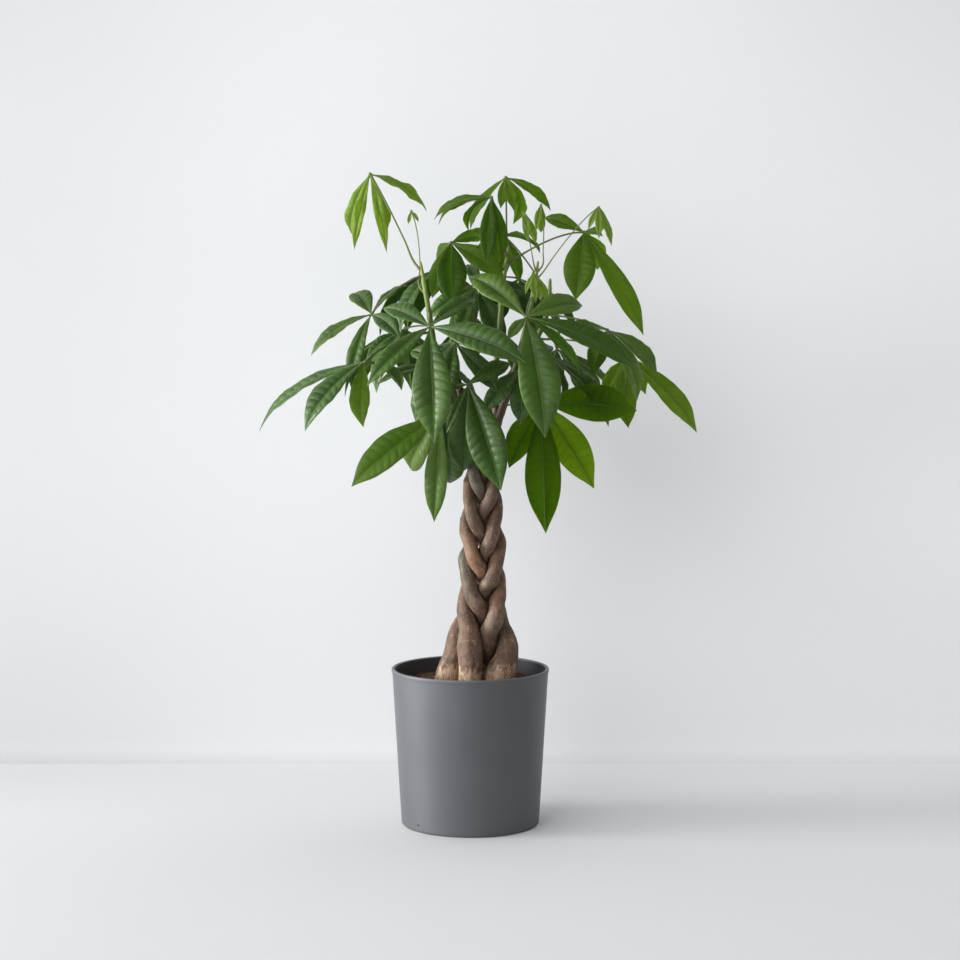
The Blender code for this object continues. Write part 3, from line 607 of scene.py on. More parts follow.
class Board:
    """A node tree being filled in."""

    def __init__(self, tree):
        self.tree = tree

    def node(self, kind, settings=None, values=(), output=0):
        """A new node with its settings made first, then its sockets' values or links, by name or in order."""
        made = self.tree.nodes.new(kind)
        for name, value in (settings or {}).items():
            if name == "stops":
                self.set_stops(made.color_ramp, value)
            else:
                setattr(made, name, value)
        pairs = values.items() if isinstance(values, dict) else enumerate(values)
        for key, value in pairs:
            self.feed(made.inputs[key], value)
        return Link(self, made.outputs[output])

    def set_stops(self, ramp, stops):
        while len(ramp.elements) < len(stops):
            ramp.elements.new(0.5)
        for element, (position, colour) in zip(ramp.elements, stops):
            element.position = position
            element.color = (*colour, 1)

    def part(self, vector, axis):
        """The X, Y or Z of a vector."""
        return self.node("ShaderNodeSeparateXYZ", values=(vector,), output=axis)

    def vector_sum(self, operation, *vectors, output="Vector"):
        return self.node("ShaderNodeVectorMath", {"operation": operation}, vectors, output)

    def feed(self, socket, value):
        if isinstance(value, Link):
            self.tree.links.new(value.socket, socket)
        elif socket.type == "RGBA" and len(value) == 3:
            socket.default_value = (*value, 1)
        else:
            socket.default_value = value


class Finish(Board):
    """A material being mixed, with its Principled shader and its coordinates at hand."""

    def __init__(self, name):
        self.material = bpy.data.materials.new(name)
        self.material.use_nodes = True
        super().__init__(self.material.node_tree)
        self.shader = self.tree.nodes["Principled BSDF"]
        self.exit = self.tree.nodes["Material Output"]
        self.place = self.node("ShaderNodeTexCoord", output="Object")

    def value(self, name):
        """A number kept at each point of the piece."""
        return self.node("ShaderNodeAttribute", {"attribute_name": name}, output="Fac")

    def cloud(self, scale, detail, vector=None, stretch=None):
        """Soft noise from 0 to 1."""
        vector = vector or self.place
        if stretch:
            vector = self.node("ShaderNodeMapping", values={"Vector": vector, "Scale": stretch})
        return self.node("ShaderNodeTexNoise", values={"Vector": vector, "Scale": scale, "Detail": detail})

    def blend(self, amount, first, second):
        """A colour between two."""
        made = self.tree.nodes.new("ShaderNodeMix")
        made.data_type = "RGBA"
        for index, value in ((0, amount), (6, first), (7, second)):
            self.feed(made.inputs[index], value)
        return Link(self, made.outputs[2])

    def painted(self, colour, *coats):
        """The colour under coats laid one over another, each given as how much of it shows and its colour."""
        for amount, coat in coats:
            colour = self.blend(amount, colour, coat)
        return colour

    def relief(self, *layers):
        """Bumps on top of one another, each given as its height and its depth in metres."""
        under = {}
        for height, depth in layers:
            values = {"Height": height, "Distance": depth, "Strength": 1.0, **under}
            under = {"Normal": self.node("ShaderNodeBump", values=values)}
        return under["Normal"]

    def set(self, **sockets):
        for name, value in sockets.items():
            self.feed(self.shader.inputs[name.replace("_", " ")], value)
        return self.material

    def let_through(self, amount, other):
        """The material, with another shader mixed in."""
        mixed = self.node("ShaderNodeMixShader", values=(amount, Link(self, self.shader.outputs[0]), other))
        self.feed(self.exit.inputs["Surface"], mixed)
        return self.material


def tint(red, green, blue):
    """A colour given as on a paint card, from 0 to 255, turned into amounts of light."""
    amounts = (np.array((red, green, blue)) / 255 + 0.055) / 1.055
    return tuple(float(amount) for amount in amounts ** 2.4)


def times(amount, colour):
    """A colour made brighter or darker."""
    return tuple(amount * part for part in colour)


def add_object(name, data):
    """A new object in the scene."""
    made = bpy.data.objects.new(name, data)
    bpy.context.scene.collection.objects.link(made)
    return made


def outcome(holder):
    """The plain mesh that an object's modifier makes; the object goes."""
    bpy.context.view_layer.update()
    mesh = bpy.data.meshes.new_from_object(holder.evaluated_get(bpy.context.evaluated_depsgraph_get()))
    bpy.data.objects.remove(holder)
    return mesh


class Growth(Board):
    """A Geometry Nodes group being filled in: a surface comes in, and what grows on it goes out."""

    def __init__(self, name, **sizes):
        super().__init__(bpy.data.node_groups.new(name, "GeometryNodeTree"))
        for way in ("INPUT", "OUTPUT"):
            self.tree.interface.new_socket("Geometry", in_out=way, socket_type="NodeSocketGeometry")
        self.sizes = sizes
        for label, value in sizes.items():
            kind = "NodeSocketInt" if isinstance(value, int) else "NodeSocketFloat"
            self.tree.interface.new_socket(label, in_out="INPUT", socket_type=kind)
        self.entry = self.tree.nodes.new("NodeGroupInput")
        self.exit = self.tree.nodes.new("NodeGroupOutput")

    def size(self, label):
        return Link(self, self.entry.outputs[label])

    def chance(self, low, high, draw):
        """A random number or vector for each point, from the seed moved on by draw."""
        kind, output = ("FLOAT_VECTOR", 0) if isinstance(low, tuple) else ("FLOAT", 1)
        return self.node("FunctionNodeRandomValue", {"data_type": kind},
                         {"Min": low, "Max": high, "Seed": self.size("Seed") + draw}, output)

    def height(self):
        return self.part(self.node("GeometryNodeInputPosition"), "Z")

    def strewn(self, chosen):
        """Points strewn over the chosen parts of the surface."""
        return self.node("GeometryNodeDistributePointsOnFaces",
                         values={"Mesh": self.size("Geometry"), "Density": self.size("Density"),
                                 "Seed": self.size("Seed"), "Selection": chosen})

    def chip(self):
        return self.node("GeometryNodeMeshIcoSphere", values={"Radius": 1.0, "Subdivisions": 1})

    def deliver(self, points, instance, rotation, scale, draw, material):
        """Sets the piece on each point, with its own tone, and sends it out as plain mesh in its finish."""
        repeated = self.node("GeometryNodeInstanceOnPoints", values={"Points": points, "Instance": instance,
                                                                     "Rotation": rotation, "Scale": scale})
        toned = self.node("GeometryNodeStoreNamedAttribute", {"data_type": "FLOAT", "domain": "INSTANCE"},
                          {"Geometry": repeated, "Name": "tone", "Value": self.chance(0.0, 1.0, draw)})
        real = self.node("GeometryNodeRealizeInstances", values=(toned,))
        dressed = self.node("GeometryNodeSetMaterial", values={"Geometry": real, "Material": material})
        self.feed(self.exit.inputs[0], dressed)

    def grown_on(self, carrier):
        """The plain mesh that the group grows on a mesh."""
        holder = add_object("holder", carrier)
        modifier = holder.modifiers.new("growth", "NODES")
        modifier.node_group = self.tree
        for item in self.tree.interface.items_tree:
            if item.in_out == "INPUT" and item.name in self.sizes:
                modifier[item.identifier] = self.sizes[item.name]
        return outcome(holder)


class Skin:
    """Points and faces gathered into one mesh, with each face's finish and each point's named numbers."""

    def __init__(self, *labels):
        self.points = []
        self.faces = []
        self.finishes = []
        self.labels = {label: [] for label in labels}
        self.count = 0

    def add(self, points, faces, finishes, **values):
        self.points.append(points)
        self.faces += [tuple(corner + self.count for corner in face) for face in faces]
        self.finishes += [finishes] * len(faces) if isinstance(finishes, int) else list(finishes)
        for label, kept in self.labels.items():
            value = values.get(label, 0.0)
            kept.append(np.broadcast_to(value, len(points)).astype(np.float32))
        self.count += len(points)

    def mesh(self, name, materials):
        made = bpy.data.meshes.new(name)
        made.from_pydata(np.concatenate(self.points).tolist(), [], self.faces)
        for material in materials:
            made.materials.append(material)
        made.polygons.foreach_set("material_index", self.finishes)
        for label, kept in self.labels.items():
            made.attributes.new(label, "FLOAT", "POINT").data.foreach_set("value", np.concatenate(kept))
        made.shade_smooth()
        made.set_sharp_from_angle(angle=SHARP)
        return made


def show(name, mesh, slot, *nodes):
    """Puts a finished mesh in the scene, riding on the plant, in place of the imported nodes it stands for."""
    piece = add_object(name, mesh)
    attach(piece, "root")
    if nodes:
        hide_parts(*nodes)


def smoothed(points, count):
    """(points, lengths along, lengths of the given ones) of an evenly stepped, rounded line."""
    reach = np.insert(np.cumsum(np.linalg.norm(np.diff(points, axis=0), axis=1)), 0, 0.0)
    steps = np.linspace(0, reach[-1], count)
    return curve_at(reach, points, steps), steps, reach


def frames_along(points):
    """(across, over) at each point of a line, carried along it without twisting."""
    tangents = np.gradient(points, axis=0)
    tangents /= np.linalg.norm(tangents, axis=1, keepdims=True)
    across = unit(np.cross(tangents[0], ASIDE))
    kept = []
    for tangent in tangents:
        across = unit(across - tangent * np.dot(across, tangent))
        kept.append((across, np.cross(tangent, across)))
    return np.array(kept)


# ---- sizes of the fine surfaces

# How many points go round each piece, and how many rings or how high a ring
POT_TURNS = 160
SOIL_ROUND = 120
SOIL_RINGS = 46
STEM_SIDES = 36
STEM_RING = 2.2 * MM
STALK_SIDES = 10
STALK_RINGS = 34
# Where a leaflet's columns of points lie, from its left margin at -1 over the rib to its right margin at 1
HALF_COLUMNS = np.array((0.03, 0.08, 0.16, 0.27, 0.40, 0.53, 0.66, 0.79, 0.91, 1.0))
COLUMNS = np.concatenate((-HALF_COLUMNS[::-1], (0.0,), HALF_COLUMNS))
SHARP = math.radians(65)  # the least angle that stays a hard edge, on the plant
POT_SHARP = math.radians(40)  # and on the pot

# The pot and the soil
LIP = 0.42  # radius of the lip, over the wall's thickness
BAND_EDGE = 0.5 * MM  # radius of the band's lower edge
INNER_CORNER = 4 * MM
NICK = (-0.0710, -0.0655, 0.0100)
NICK_RADIUS = 3.2 * MM
# the near-black of the painted shade on the pot's inner wall
POT_INSIDE_SHADE = (0.012, 0.012, 0.013)
SOIL_TUCK = 0.9 * MM  # how far the soil reaches into the pot's wall
SOIL_TAPER = 14 * MM
SOIL_LUMPS = ((0, 60, 1.4), (4, 190, 0.9))  # where each noise is taken, how fine it is and how high in mm

# The stems
STEM_SNUG = 0.5 * MM  # a stem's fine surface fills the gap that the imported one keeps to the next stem
BRAID_END = 0.56  # above this height the stems keep clear of one another
SCARS = 26  # leaf scars on each stem
SCAR_HALF_HIGH = 2.6 * MM
SCAR_HALF_WIDE = 3.6 * MM
# painted shade: bark in gaps narrower than this between stems is darkened
CREVICE_SHADE_WIDTH = 5.5 * MM  # how wide a gap between stems still looks dark
FLAKY_HIGH = 0.236  # old bark starts to flake below this height
FLAKY_LOW = 0.206  # and is all flaky here
FLAKY_FADE = 0.03
# The bark's swellings and its flakes: how squeezed across and along the stem, how fine and how high in mm
SWELLINGS = ((1, 1, 34, 0.9), (1, 0.5, 150, 0.3), (0.2, 1, 150, 0.25))
FLAKES = (1, 0.35, 330, 0.9)
# A pore's and a peeling strip's half width, half length and half thickness, at their largest
PORE_SHAPE = (0.42 * MM, 1.25 * MM, 0.3 * MM)
STRIP_SHAPE = (0.6 * MM, 4.6 * MM, 0.35 * MM)
STEM_POINT = 2.5 * MM  # how far a stem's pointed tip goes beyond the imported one
STEM_SEED = 40
# How much warmer or greener than usual a stem is, at heights in metres
WARM_STRETCHES = {
    "centre_right": ((0.34, 0.0), (0.362, 0.9), (0.38, 0.6), (0.41, 0.35), (0.43, 0.0), (0.46, 0.35),
                     (0.5, 0.1)),
    "centre_left": ((0.31, 0.2), (0.335, -0.2), (0.36, -0.9), (0.40, -0.9), (0.43, -0.1), (0.50, -0.2)),
    "back": ((0.26, 0.0), (0.30, 0.3), (0.33, 0.55), (0.36, 0.2), (0.44, 0.15), (0.47, 0.4), (0.5, 0.0)),
    "left": ((0.28, 0.2), (0.33, 0.1), (0.37, 0.4), (0.40, 0.3), (0.44, 0.0), (0.48, -0.7), (0.52, -0.9)),
    "right": ((0.22, 0.1), (0.30, 0.0), (0.40, 0.1), (0.44, 0.35), (0.465, 0.0), (0.49, -0.8), (0.54, -0.9)),
}
BELLY = {"right": (0.256, 2.6 * MM)}  # the height at which a stem swells, and how far
BELLY_DEEP = 0.026

# The leaves
VEIN_LEAN = 0.06  # how far up the leaflet's length a side vein runs before it reaches the margin
VEIN_STEPS = (0.0, 0.16, 0.5, 0.84)  # rows from one side vein to the next, closer at the vein
# The numbers kept at each point of a leaf: place among the side veins, distance from the rib in mm, share of
# the way to the margin, its own tone, how young it looks, share of its length, how much painted shade olive it
# has
LEAF_MARKS = ("vein", "rib", "margin", "tone", "fresh", "along", "olive")
UPPER_FINISH, UNDER_FINISH, STALK_FINISH = range(3)  # the finishes of a leaf, in order
OFF_BLADE = {"vein": 0.5, "rib": 9.0, "olive": 0.0}  # the marks that keep the veins off a stalk
# How young a leaf looks and how much painted shade olive it has, by its number, or a leaflet, by its
# leaf's number and its own
LEAF_LOOKS = {2: (0.2, 0.15), 3: (0.0, 0.3), 7: (0.35, 0.2), 8: (0.15, 1.0), 10: (0.7, 0.2), 11: (0.35, 0.8),
              12: (0.4, 0.8), 13: (0.45, 0.9), 14: (0.85, 0.3), 15: (0.25, 0.8), 16: (0.25, 0.8)}
LEAFLET_LOOKS = {(2, 3): (0.06, 0.5), (2, 4): (0.06, 0.7), (4, 2): (0.5, 0.9), (6, 0): (0.15, 0.9),
                 (6, 4): (0.4, 0.7), (6, 1): (0.15, 0.2), (6, 2): (0.3, 0.2), (8, 1): (0.6, 0.8),
                 (12, 3): (0.1, 1.0), (12, 4): (0.2, 0.9), (13, 1): (0.55, 0.6), (7, 2): (0.6, 0.1),
                 (7, 3): (0.6, 0.1), (14, 2): (0.6, 0.3), (15, 0): (0.0, 1.0)}
USUAL_LOOKS = (0.06, 0.0)
SHOOT_LOOKS = (1.0, 0.0)
STALK_SLIM = 0.78
SLIM_LEAFLETS = {14: (0.8, 2.5)}  # how wide such a leaf's leaflets are here, and how much more they ripple
LEAST_VEINS = 6
VEINS_A_METRE = 47
ROOT_HALF = 1.2 * MM  # half width of a leaflet where it leaves the hub, and at its tip
TIP_HALF = 0.12 * MM
HANG_FROM = 0.72  # the last stretch of a leaflet hangs a little
TIP_HANG = 0.16
MARGIN_WAVES = 13  # half waves of a leaflet's fine ripple
FINE_RIPPLE = 0.5 * MM
QUILT = 0.049  # how far a leaflet bulges between its side veins, over its half width
YOUNG_QUILT = 0.02
SHEET = 0.34 * MM  # a leaflet's thickness away from its rib
RIB_DEEP = 1.1 * MM
GROOVE_HALF = 0.8 * MM
GROOVE_DEEP = 0.35 * MM
STALK_ROOTED = 3 * MM  # how deep a stalk stands in its stem
SHOWN_KNOB = 2.5 * MM
LEAF_SEED = 1000
TONE_SPREAD = 0.3  # how much a leaflet's tone may differ from its leaf's
YOUTH_SPREAD = 0.1

# The stage
SEEN_SKY = 0.78  # how bright the room itself looks, beyond the backdrop
ROOM_COLOUR = (1.0, 0.985, 0.97, 1)
# Each window's place, the point that it faces, its width and height, and its colour
WINDOW = ((-8.65, -8.65, 5.4), (0, 0, 0.5), (15.0, 8.5), (0.97, 0.985, 1.0))
SIDE_WINDOW = ((-9.0, -0.45, 1.1), (0, 0, 0.45), (4.4, 2.8), (0.98, 0.99, 1.0))
CAMERA_PLACE = (0.0136, -3.3, 0.772)
CAMERA_TILT = math.radians(85)
CAMERA_LENS = 89.4  # mm, over a sensor of this width
SENSOR = 36
WALL_CURVE = 0.035  # radius of the curve between the floor and the wall
STAGE_REACH = 6.0  # how far the floor goes to the sides and the front


# ---- finishes


def pot_finish(colour, wall, foot_radius):
    """Satin grey, slightly cloudy, with fine grit, a painted highlight along the rim, painted shade and a
    duller gloss inside, and a nick near the foot.
    """
    pot = Finish("pot_grey")
    height = pot.part(pot.place, "Z")
    cloudy = pot.cloud(9, 4)
    grit = pot.cloud(900, 2)
    streaks = pot.cloud(40, 4, stretch=(1, 1, 0.12))
    # painted highlight: the top of the lip is made much lighter, where light catches the rim
    rim_highlight = height.step(POT_HEIGHT - 2.2 * MM, POT_HEIGHT - 0.5 * MM)
    away = pot.vector_sum("DISTANCE", pot.place, NICK, output="Value")
    nick = away.step(NICK_RADIUS, 1.4 * MM)
    # painted shade: the inner wall below the lip is darkened to the shade inside the pot, and made rougher
    reach = pot.vector_sum("LENGTH", pot.vector_sum("MULTIPLY", pot.place, (1, 1, 0)), output="Value")
    middle = height * ((RIM_RADIUS - foot_radius) / POT_HEIGHT) + (foot_radius - wall / 2)
    shaded_inside = (middle - reach).step(0.0, 1.0 * MM) * height.step(POT_HEIGHT - 1 * MM, POT_HEIGHT - 3 * MM)
    body = pot.blend(cloudy.step(0.3, 0.7), times(0.93, colour), times(1.07, colour))
    body = pot.painted(body,
                       (streaks.step(0.55, 0.75) * 0.2, times(1.25, colour)),
                       (grit.step(0.62, 0.8) * 0.25, times(1.6, colour)),
                       (rim_highlight * 0.55, times(2.2, colour)),
                       (nick * 0.75, times(0.25, colour)),
                       (shaded_inside * 0.6, POT_INSIDE_SHADE))
    bump = pot.relief((grit, 0.10 * MM), (pot.cloud(14, 3), 0.4 * MM), (1 - nick, 0.5 * MM))
    rough = (0.40 + cloudy * 0.10 + streaks * 0.06 + shaded_inside * 0.35).held()
    return pot.set(Base_Color=body, Roughness=rough, Normal=bump, Specular_IOR_Level=0.55)


def soil_finish():
    """Loose peat: dark red-brown, with lighter fibres."""
    soil = Finish("soil")
    lumps = soil.cloud(170, 6)
    fine = soil.cloud(900, 4)
    body = soil.blend(lumps.step(0.35, 0.7), tint(52, 34, 25), tint(112, 72, 50))
    body = soil.blend(fine.step(0.6, 0.72) * 0.6, body, tint(150, 106, 78))
    bump = soil.relief((lumps, 2.0 * MM), (fine, 0.6 * MM))
    return soil.set(Base_Color=body, Roughness=(0.8 + fine * 0.2).held(), Normal=bump)


def crumb_finish():
    """Single crumbs of peat and bark, each of its own brown."""
    crumb = Finish("soil_crumb")
    own = crumb.value("tone")
    fine = crumb.cloud(1400, 3)
    browns = ((0.0, tint(44, 29, 22)), (0.45, tint(92, 58, 41)), (0.8, tint(132, 84, 58)),
              (1.0, tint(172, 128, 96)))
    body = crumb.node("ShaderNodeValToRGB", {"stops": browns}, {"Fac": own})
    body = crumb.blend(fine.step(0.4, 0.7) * 0.5, body, tint(60, 40, 30))
    return crumb.set(Base_Color=body, Roughness=(0.75 + own * 0.2).held(),
                     Normal=crumb.relief((fine, 0.4 * MM)))


def bark_finish(bark_colour, young_colour):
    """Smooth grey-brown bark: cloudy, with pale ring scars, tan where it peels, green towards the tips and
    painted shade in the gaps between stems.
    """
    bark = Finish("bark")
    grain = bark.node("ShaderNodeCombineXYZ", values=[bark.value("grain_" + axis) for axis in "xyz"])
    height = bark.part(bark.place, "Z")
    own, scar, warmth, crevice = [bark.value(label) for label in ("tone", "scar", "warmth", "crevice")]
    patches = bark.cloud(24, 5)
    mottles = bark.cloud(150, 5, grain, (1, 1, 0.55))
    fibres = bark.cloud(520, 4, grain, (1, 1, 0.14))
    pits = bark.cloud(760, 3, grain, (1, 1, 0.7))
    ring_places = bark.node("ShaderNodeTexVoronoi",
                            {"voronoi_dimensions": "1D", "feature": "DISTANCE_TO_EDGE"},
                            {"W": bark.value("grain_z") + mottles * 0.006, "Scale": 30.0})
    rings = ring_places.step(0.03, 0.0) * mottles.step(0.42, 0.6) * patches.step(0.46, 0.6)
    fine_rings = bark.cloud(300, 3, grain, (0.10, 0.10, 1))
    peel = height.step(0.246, FLAKY_LOW) * 0.8 + (mottles - 0.5) * 1.8 + (patches - 0.5) * 0.8
    peel = peel.step(0.3, 0.75)
    green = (height + (patches - 0.5) * 0.10).step(0.50, 0.64)

    body = bark.painted(
        bark_colour,
        (patches.step(0.36, 0.64), tint(116, 89, 69)),
        (bark.cloud(19, 3, grain).step(0.54, 0.72) * 0.6, tint(134, 94, 76)),
        (own * 0.35, tint(82, 70, 58)),
        (bark.cloud(62, 4, grain, (1, 1, 0.6)).step(0.52, 0.66) * 0.45, tint(128, 112, 96)),
        (warmth.step(0.0, 1.2) * (0.25 + patches * 0.9), tint(172, 124, 92)),
        ((0 - warmth).step(0.1, 0.9) * 0.8, tint(88, 92, 78)),
        (mottles.step(0.52, 0.36) * 0.55, tint(66, 51, 42)),
        (mottles.step(0.58, 0.72) * 0.4, tint(160, 132, 108)),
        (fine_rings.step(0.56, 0.70) * 0.45, tint(92, 74, 62)),
        (pits.step(0.62, 0.72) * 0.55, tint(206, 180, 154)),
        (rings * 0.65, tint(192, 160, 138)),
        (scar.step(0.25, 0.8) * 0.5, tint(116, 76, 62)),
        (peel * 0.75, tint(212, 184, 154)),
        (peel * fibres.step(0.5, 0.62) * 0.6, tint(172, 118, 84)),
        (peel * (1 - peel) * pits.step(0.5, 0.6) * 3, tint(70, 52, 42)),
        (height.step(0.226, 0.204) * fibres.step(0.50, 0.42) * 0.8, tint(82, 56, 40)),
        (green * 0.45, tint(78, 66, 50)),
        ((height + (patches - 0.5) * 0.08).step(0.58, 0.70) * 0.92, young_colour),
        (height.step(0.69, 0.76) * 0.7, tint(136, 156, 74)),
        # painted shade: dark brown laid in the gaps where stems press together
        (crevice * 0.8, tint(40, 30, 24)))
    bump = bark.relief((mottles, 0.9 * MM), (pits, 0.35 * MM), (fine_rings, 0.5 * MM), (rings, 0.3 * MM),
                       (fibres * height.step(FLAKY_HIGH, FLAKY_LOW), 1.2 * MM))
    rough = (0.5 + pits * 0.25 - green * 0.1).held()
    return bark.set(Base_Color=body, Roughness=rough, Normal=bump, Specular_IOR_Level=0.4)


def pale_bark_finish(name, first, second):
    """Corky pores, or strips of peeling bark, each a little different from the next."""
    cork = Finish(name)
    fine = cork.cloud(900, 3)
    body = cork.blend(cork.value("tone"), first, second)
    body = cork.blend(fine.step(0.45, 0.7) * 0.5, body, times(0.45, first))
    return cork.set(Base_Color=body, Roughness=(0.7 + fine * 0.25).held(),
                    Normal=cork.relief((fine, 0.4 * MM)))


def leaf_finish(name, colours, gloss, through, under=False):
    """A leaf's skin: deep green with a paler rib, fresher on young leaves, painted shade olive where marked,
    and light coming through.
    """
    dark, mid, fresh_colour, vein_colour = colours
    leaf = Finish(name)
    vein, rib, margin, own, fresh, along, olive = [leaf.value(label) for label in LEAF_MARKS]
    turn = leaf.node("ShaderNodeMath", {"operation": "FRACT"}, (vein,))
    side = (0.5 - (turn - 0.5).size()).step(0.09, 0.02) * margin.step(1.0, 0.7) * rib.step(0.3, 1.6)
    midrib = rib.step(1.2, 0.45)
    cells = leaf.node("ShaderNodeTexVoronoi", {"feature": "DISTANCE_TO_EDGE"},
                      {"Vector": leaf.place, "Scale": 420})
    net = cells.step(0.10, 0.0)
    clouds = leaf.cloud(34, 4)
    body = leaf.blend((clouds.step(0.3, 0.7) * 0.55 + own * 0.45).held(), dark, mid)
    body = leaf.painted(body,
                        (leaf.cloud(14, 2).step(0.52, 0.75) * 0.4, times(1.25, mid)),
                        # painted shade: a dark, saturated olive for leaflets that hang in shade with light
                        # behind them
                        (olive * 0.8, tint(62, 90, 0)),
                        (fresh * clouds.step(0.15, 0.5), fresh_colour),
                        # a paler margin: partly the leaflet's own edge colour, partly a painted highlight
                        # where the edge catches light
                        (margin.step(0.93, 1.0) * 0.2, times(1.3, fresh_colour)),
                        (net * 0.10, vein_colour),
                        (side * (0.25 if under else 0.15), vein_colour),
                        (midrib * (0.85 - along * 0.35), vein_colour))
    bump = leaf.relief((leaf.cloud(260, 3), 0.3 * MM), (leaf.cloud(170, 2) * fresh, 1.2 * MM),
                       (1 - net, 0.10 * MM), (side if under else 1 - side, 0.25 * MM))
    sheen = 0.0 if under else (0.62 - olive * 0.5 - fresh * 0.25).held()
    rough = (gloss + clouds * 0.14 + side * 0.1 + olive * 0.2).held()
    leaf.set(Base_Color=body, Roughness=rough, Normal=bump, Coat_Weight=sheen, Coat_Roughness=0.4,
             Specular_IOR_Level=0.3)
    glow = leaf.blend(olive, tint(96, 146, 0), tint(130, 166, 0))
    glow = leaf.painted(glow, (fresh, tint(200, 224, 76)),
                        (side * 0.15 + midrib * 0.3, times(0.5, fresh_colour)))
    share = (through + fresh * 0.15 + olive * 0.35 - midrib * 0.1).held()
    return leaf.let_through(share, leaf.node("ShaderNodeBsdfTranslucent", values={"Color": glow}))


def stalk_finish(lower, upper):
    """A leaf stalk: green, brownish where it leaves the stem."""
    stalk = Finish("leaf_stalk")
    streaks = stalk.cloud(500, 3, stretch=(1, 1, 0.3))
    body = stalk.painted(stalk.blend(stalk.value("margin").step(0.0, 0.35), lower, upper),
                         (stalk.value("fresh") * 0.35, tint(150, 166, 80)),
                         (streaks.step(0.5, 0.75) * 0.4, times(1.6, upper)))
    return stalk.set(Base_Color=body, Roughness=(0.4 + streaks * 0.2).held(),
                     Normal=stalk.relief((streaks, 0.3 * MM)))


def backdrop_finish(colour):
    """Matt paper with painted shade: darker at the left, at the top, low on the wall and in the curve. From
    behind, the eye sees through it.
    """
    paper = Finish("backdrop_paper")
    across, depth, height = [paper.part(paper.place, axis) for axis in "XYZ"]
    left = across.step(-0.1, -0.8)
    shade = height.step(0.0, 0.002) * (left * 0.10 + height.step(0.5, 0.0) * 0.07)
    shade = shade + left * depth.step(0.0, 0.35) * 0.07
    shade = shade + height.step(0.0002, 0.002) * height.step(0.022, 0.006) * 0.02
    shade = shade + height.step(0.9, 1.5) * 0.08 + height.step(0.5, 1.3) * across.step(0.25, 0.75) * 0.07
    soft = paper.cloud(3, 2) * 0.02
    paper.set(Base_Color=paper.blend(shade + soft, colour, (0, 0, 0)), Roughness=0.9)
    back = paper.node("ShaderNodeNewGeometry", output="Backfacing")
    seen = paper.node("ShaderNodeLightPath", output="Is Camera Ray")
    return paper.let_through(back * seen, paper.node("ShaderNodeBsdfTransparent"))


# ---- pieces


def turned(profile, turns):
    """The mesh of a profile of (radius, height) points, from the top of the outer side, turned about Z."""
    mesh = bpy.data.meshes.new("profile")
    mesh.from_pydata([(radius, 0, height) for radius, height in profile],
                     [(index, index + 1) for index in range(len(profile) - 1)], [])
    holder = add_object("profile", mesh)
    screw = holder.modifiers.new("turn", "SCREW")
    screw.steps = turns
    screw.render_steps = turns
    screw.use_merge_vertices = True
    screw.merge_threshold = 0.05 * MM
    made = outcome(holder)
    shape = bmesh.new()
    shape.from_mesh(made)
    bmesh.ops.remove_doubles(shape, verts=shape.verts, dist=0.01 * MM)
    bmesh.ops.recalc_face_normals(shape, faces=shape.faces)
    shape.to_mesh(made)
    shape.free()
    return made


def arc(middle, radius, start, end, count):
    """Points of a round stretch of a profile, its angles in degrees from straight out."""
    turns = [math.radians(angle) for angle in np.linspace(start, end, count)]
    return [(middle[0] + radius * math.cos(turn), middle[1] + radius * math.sin(turn)) for turn in turns]


def pot_mesh(wall, floor, band, step, corner, foot_radius):
    """The pot: a lip with a narrow band, a tapered wall and a softly rounded foot."""
    lip = wall * LIP
    top = POT_HEIGHT - lip
    neck = top - (band - lip)
    outer = RIM_RADIUS - step
    taper = (outer - foot_radius) / (POT_HEIGHT - band)
    profile = arc((RIM_RADIUS - lip, top), lip, 90, 0, 9)
    profile += arc((RIM_RADIUS - BAND_EDGE, neck + BAND_EDGE), BAND_EDGE, 0, -80, 5)
    profile += [(outer + 0.1 * MM, neck - 0.1 * MM), (outer - taper * MM, neck - 1.4 * MM)]
    heights = np.linspace(neck - 6 * MM, corner * 1.6, 24)
    profile += [(foot_radius + taper * height, height) for height in heights]
    profile += arc((foot_radius + taper * corner - corner, corner), corner, 0, -90, 8)
    profile += [(foot_radius - 0.02, 0.0), (0.02, 0.0), (0.0, 0.0), (0.0, floor)]
    inner_foot = foot_radius + taper * floor - wall
    inner_top = RIM_RADIUS - wall
    profile += [(inner_foot - INNER_CORNER - 1 * MM, floor)]
    profile += arc((inner_foot - INNER_CORNER, floor + INNER_CORNER), INNER_CORNER, -90, 0, 6)
    profile += [(inner_foot + (inner_top - inner_foot) * share, floor + (top - floor) * share)
                for share in np.linspace(0.1, 1, 16)]
    profile += arc((inner_top + wall - 2 * lip + lip * 0.2, top), lip * 0.8, 180, 90, 7)[1:]
    profile += [(RIM_RADIUS - lip, POT_HEIGHT)]
    return turned(profile, POT_TURNS)


def soil_mesh():
    """The soil's lumpy top, closed below by the shape of the pot."""
    low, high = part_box("soil")
    reach = (high.x - low.x) / 2 + SOIL_TUCK
    foot = reach - SOIL_TAPER
    angles = np.linspace(0, 2 * math.pi, SOIL_ROUND, endpoint=False)
    rings = []
    for share in np.linspace(0.02, 1, SOIL_RINGS):
        for angle in angles:
            x, y = reach * share * math.cos(angle), reach * share * math.sin(angle)
            lump = sum(noise.noise(Vector((x, y, z)) * scale) * high for z, scale, high in SOIL_LUMPS)
            rings.append((x, y, SOIL_TOP - SOIL_CROWN * share ** 2.4 + lump * MM))
    rings += [(foot * math.cos(angle), foot * math.sin(angle), low.z) for angle in angles]
    faces = [tuple(reversed(face)) for face in tube_faces(SOIL_RINGS + 1, SOIL_ROUND)]
    skin = Skin()
    skin.add(np.array(rings), faces, 0)
    return skin


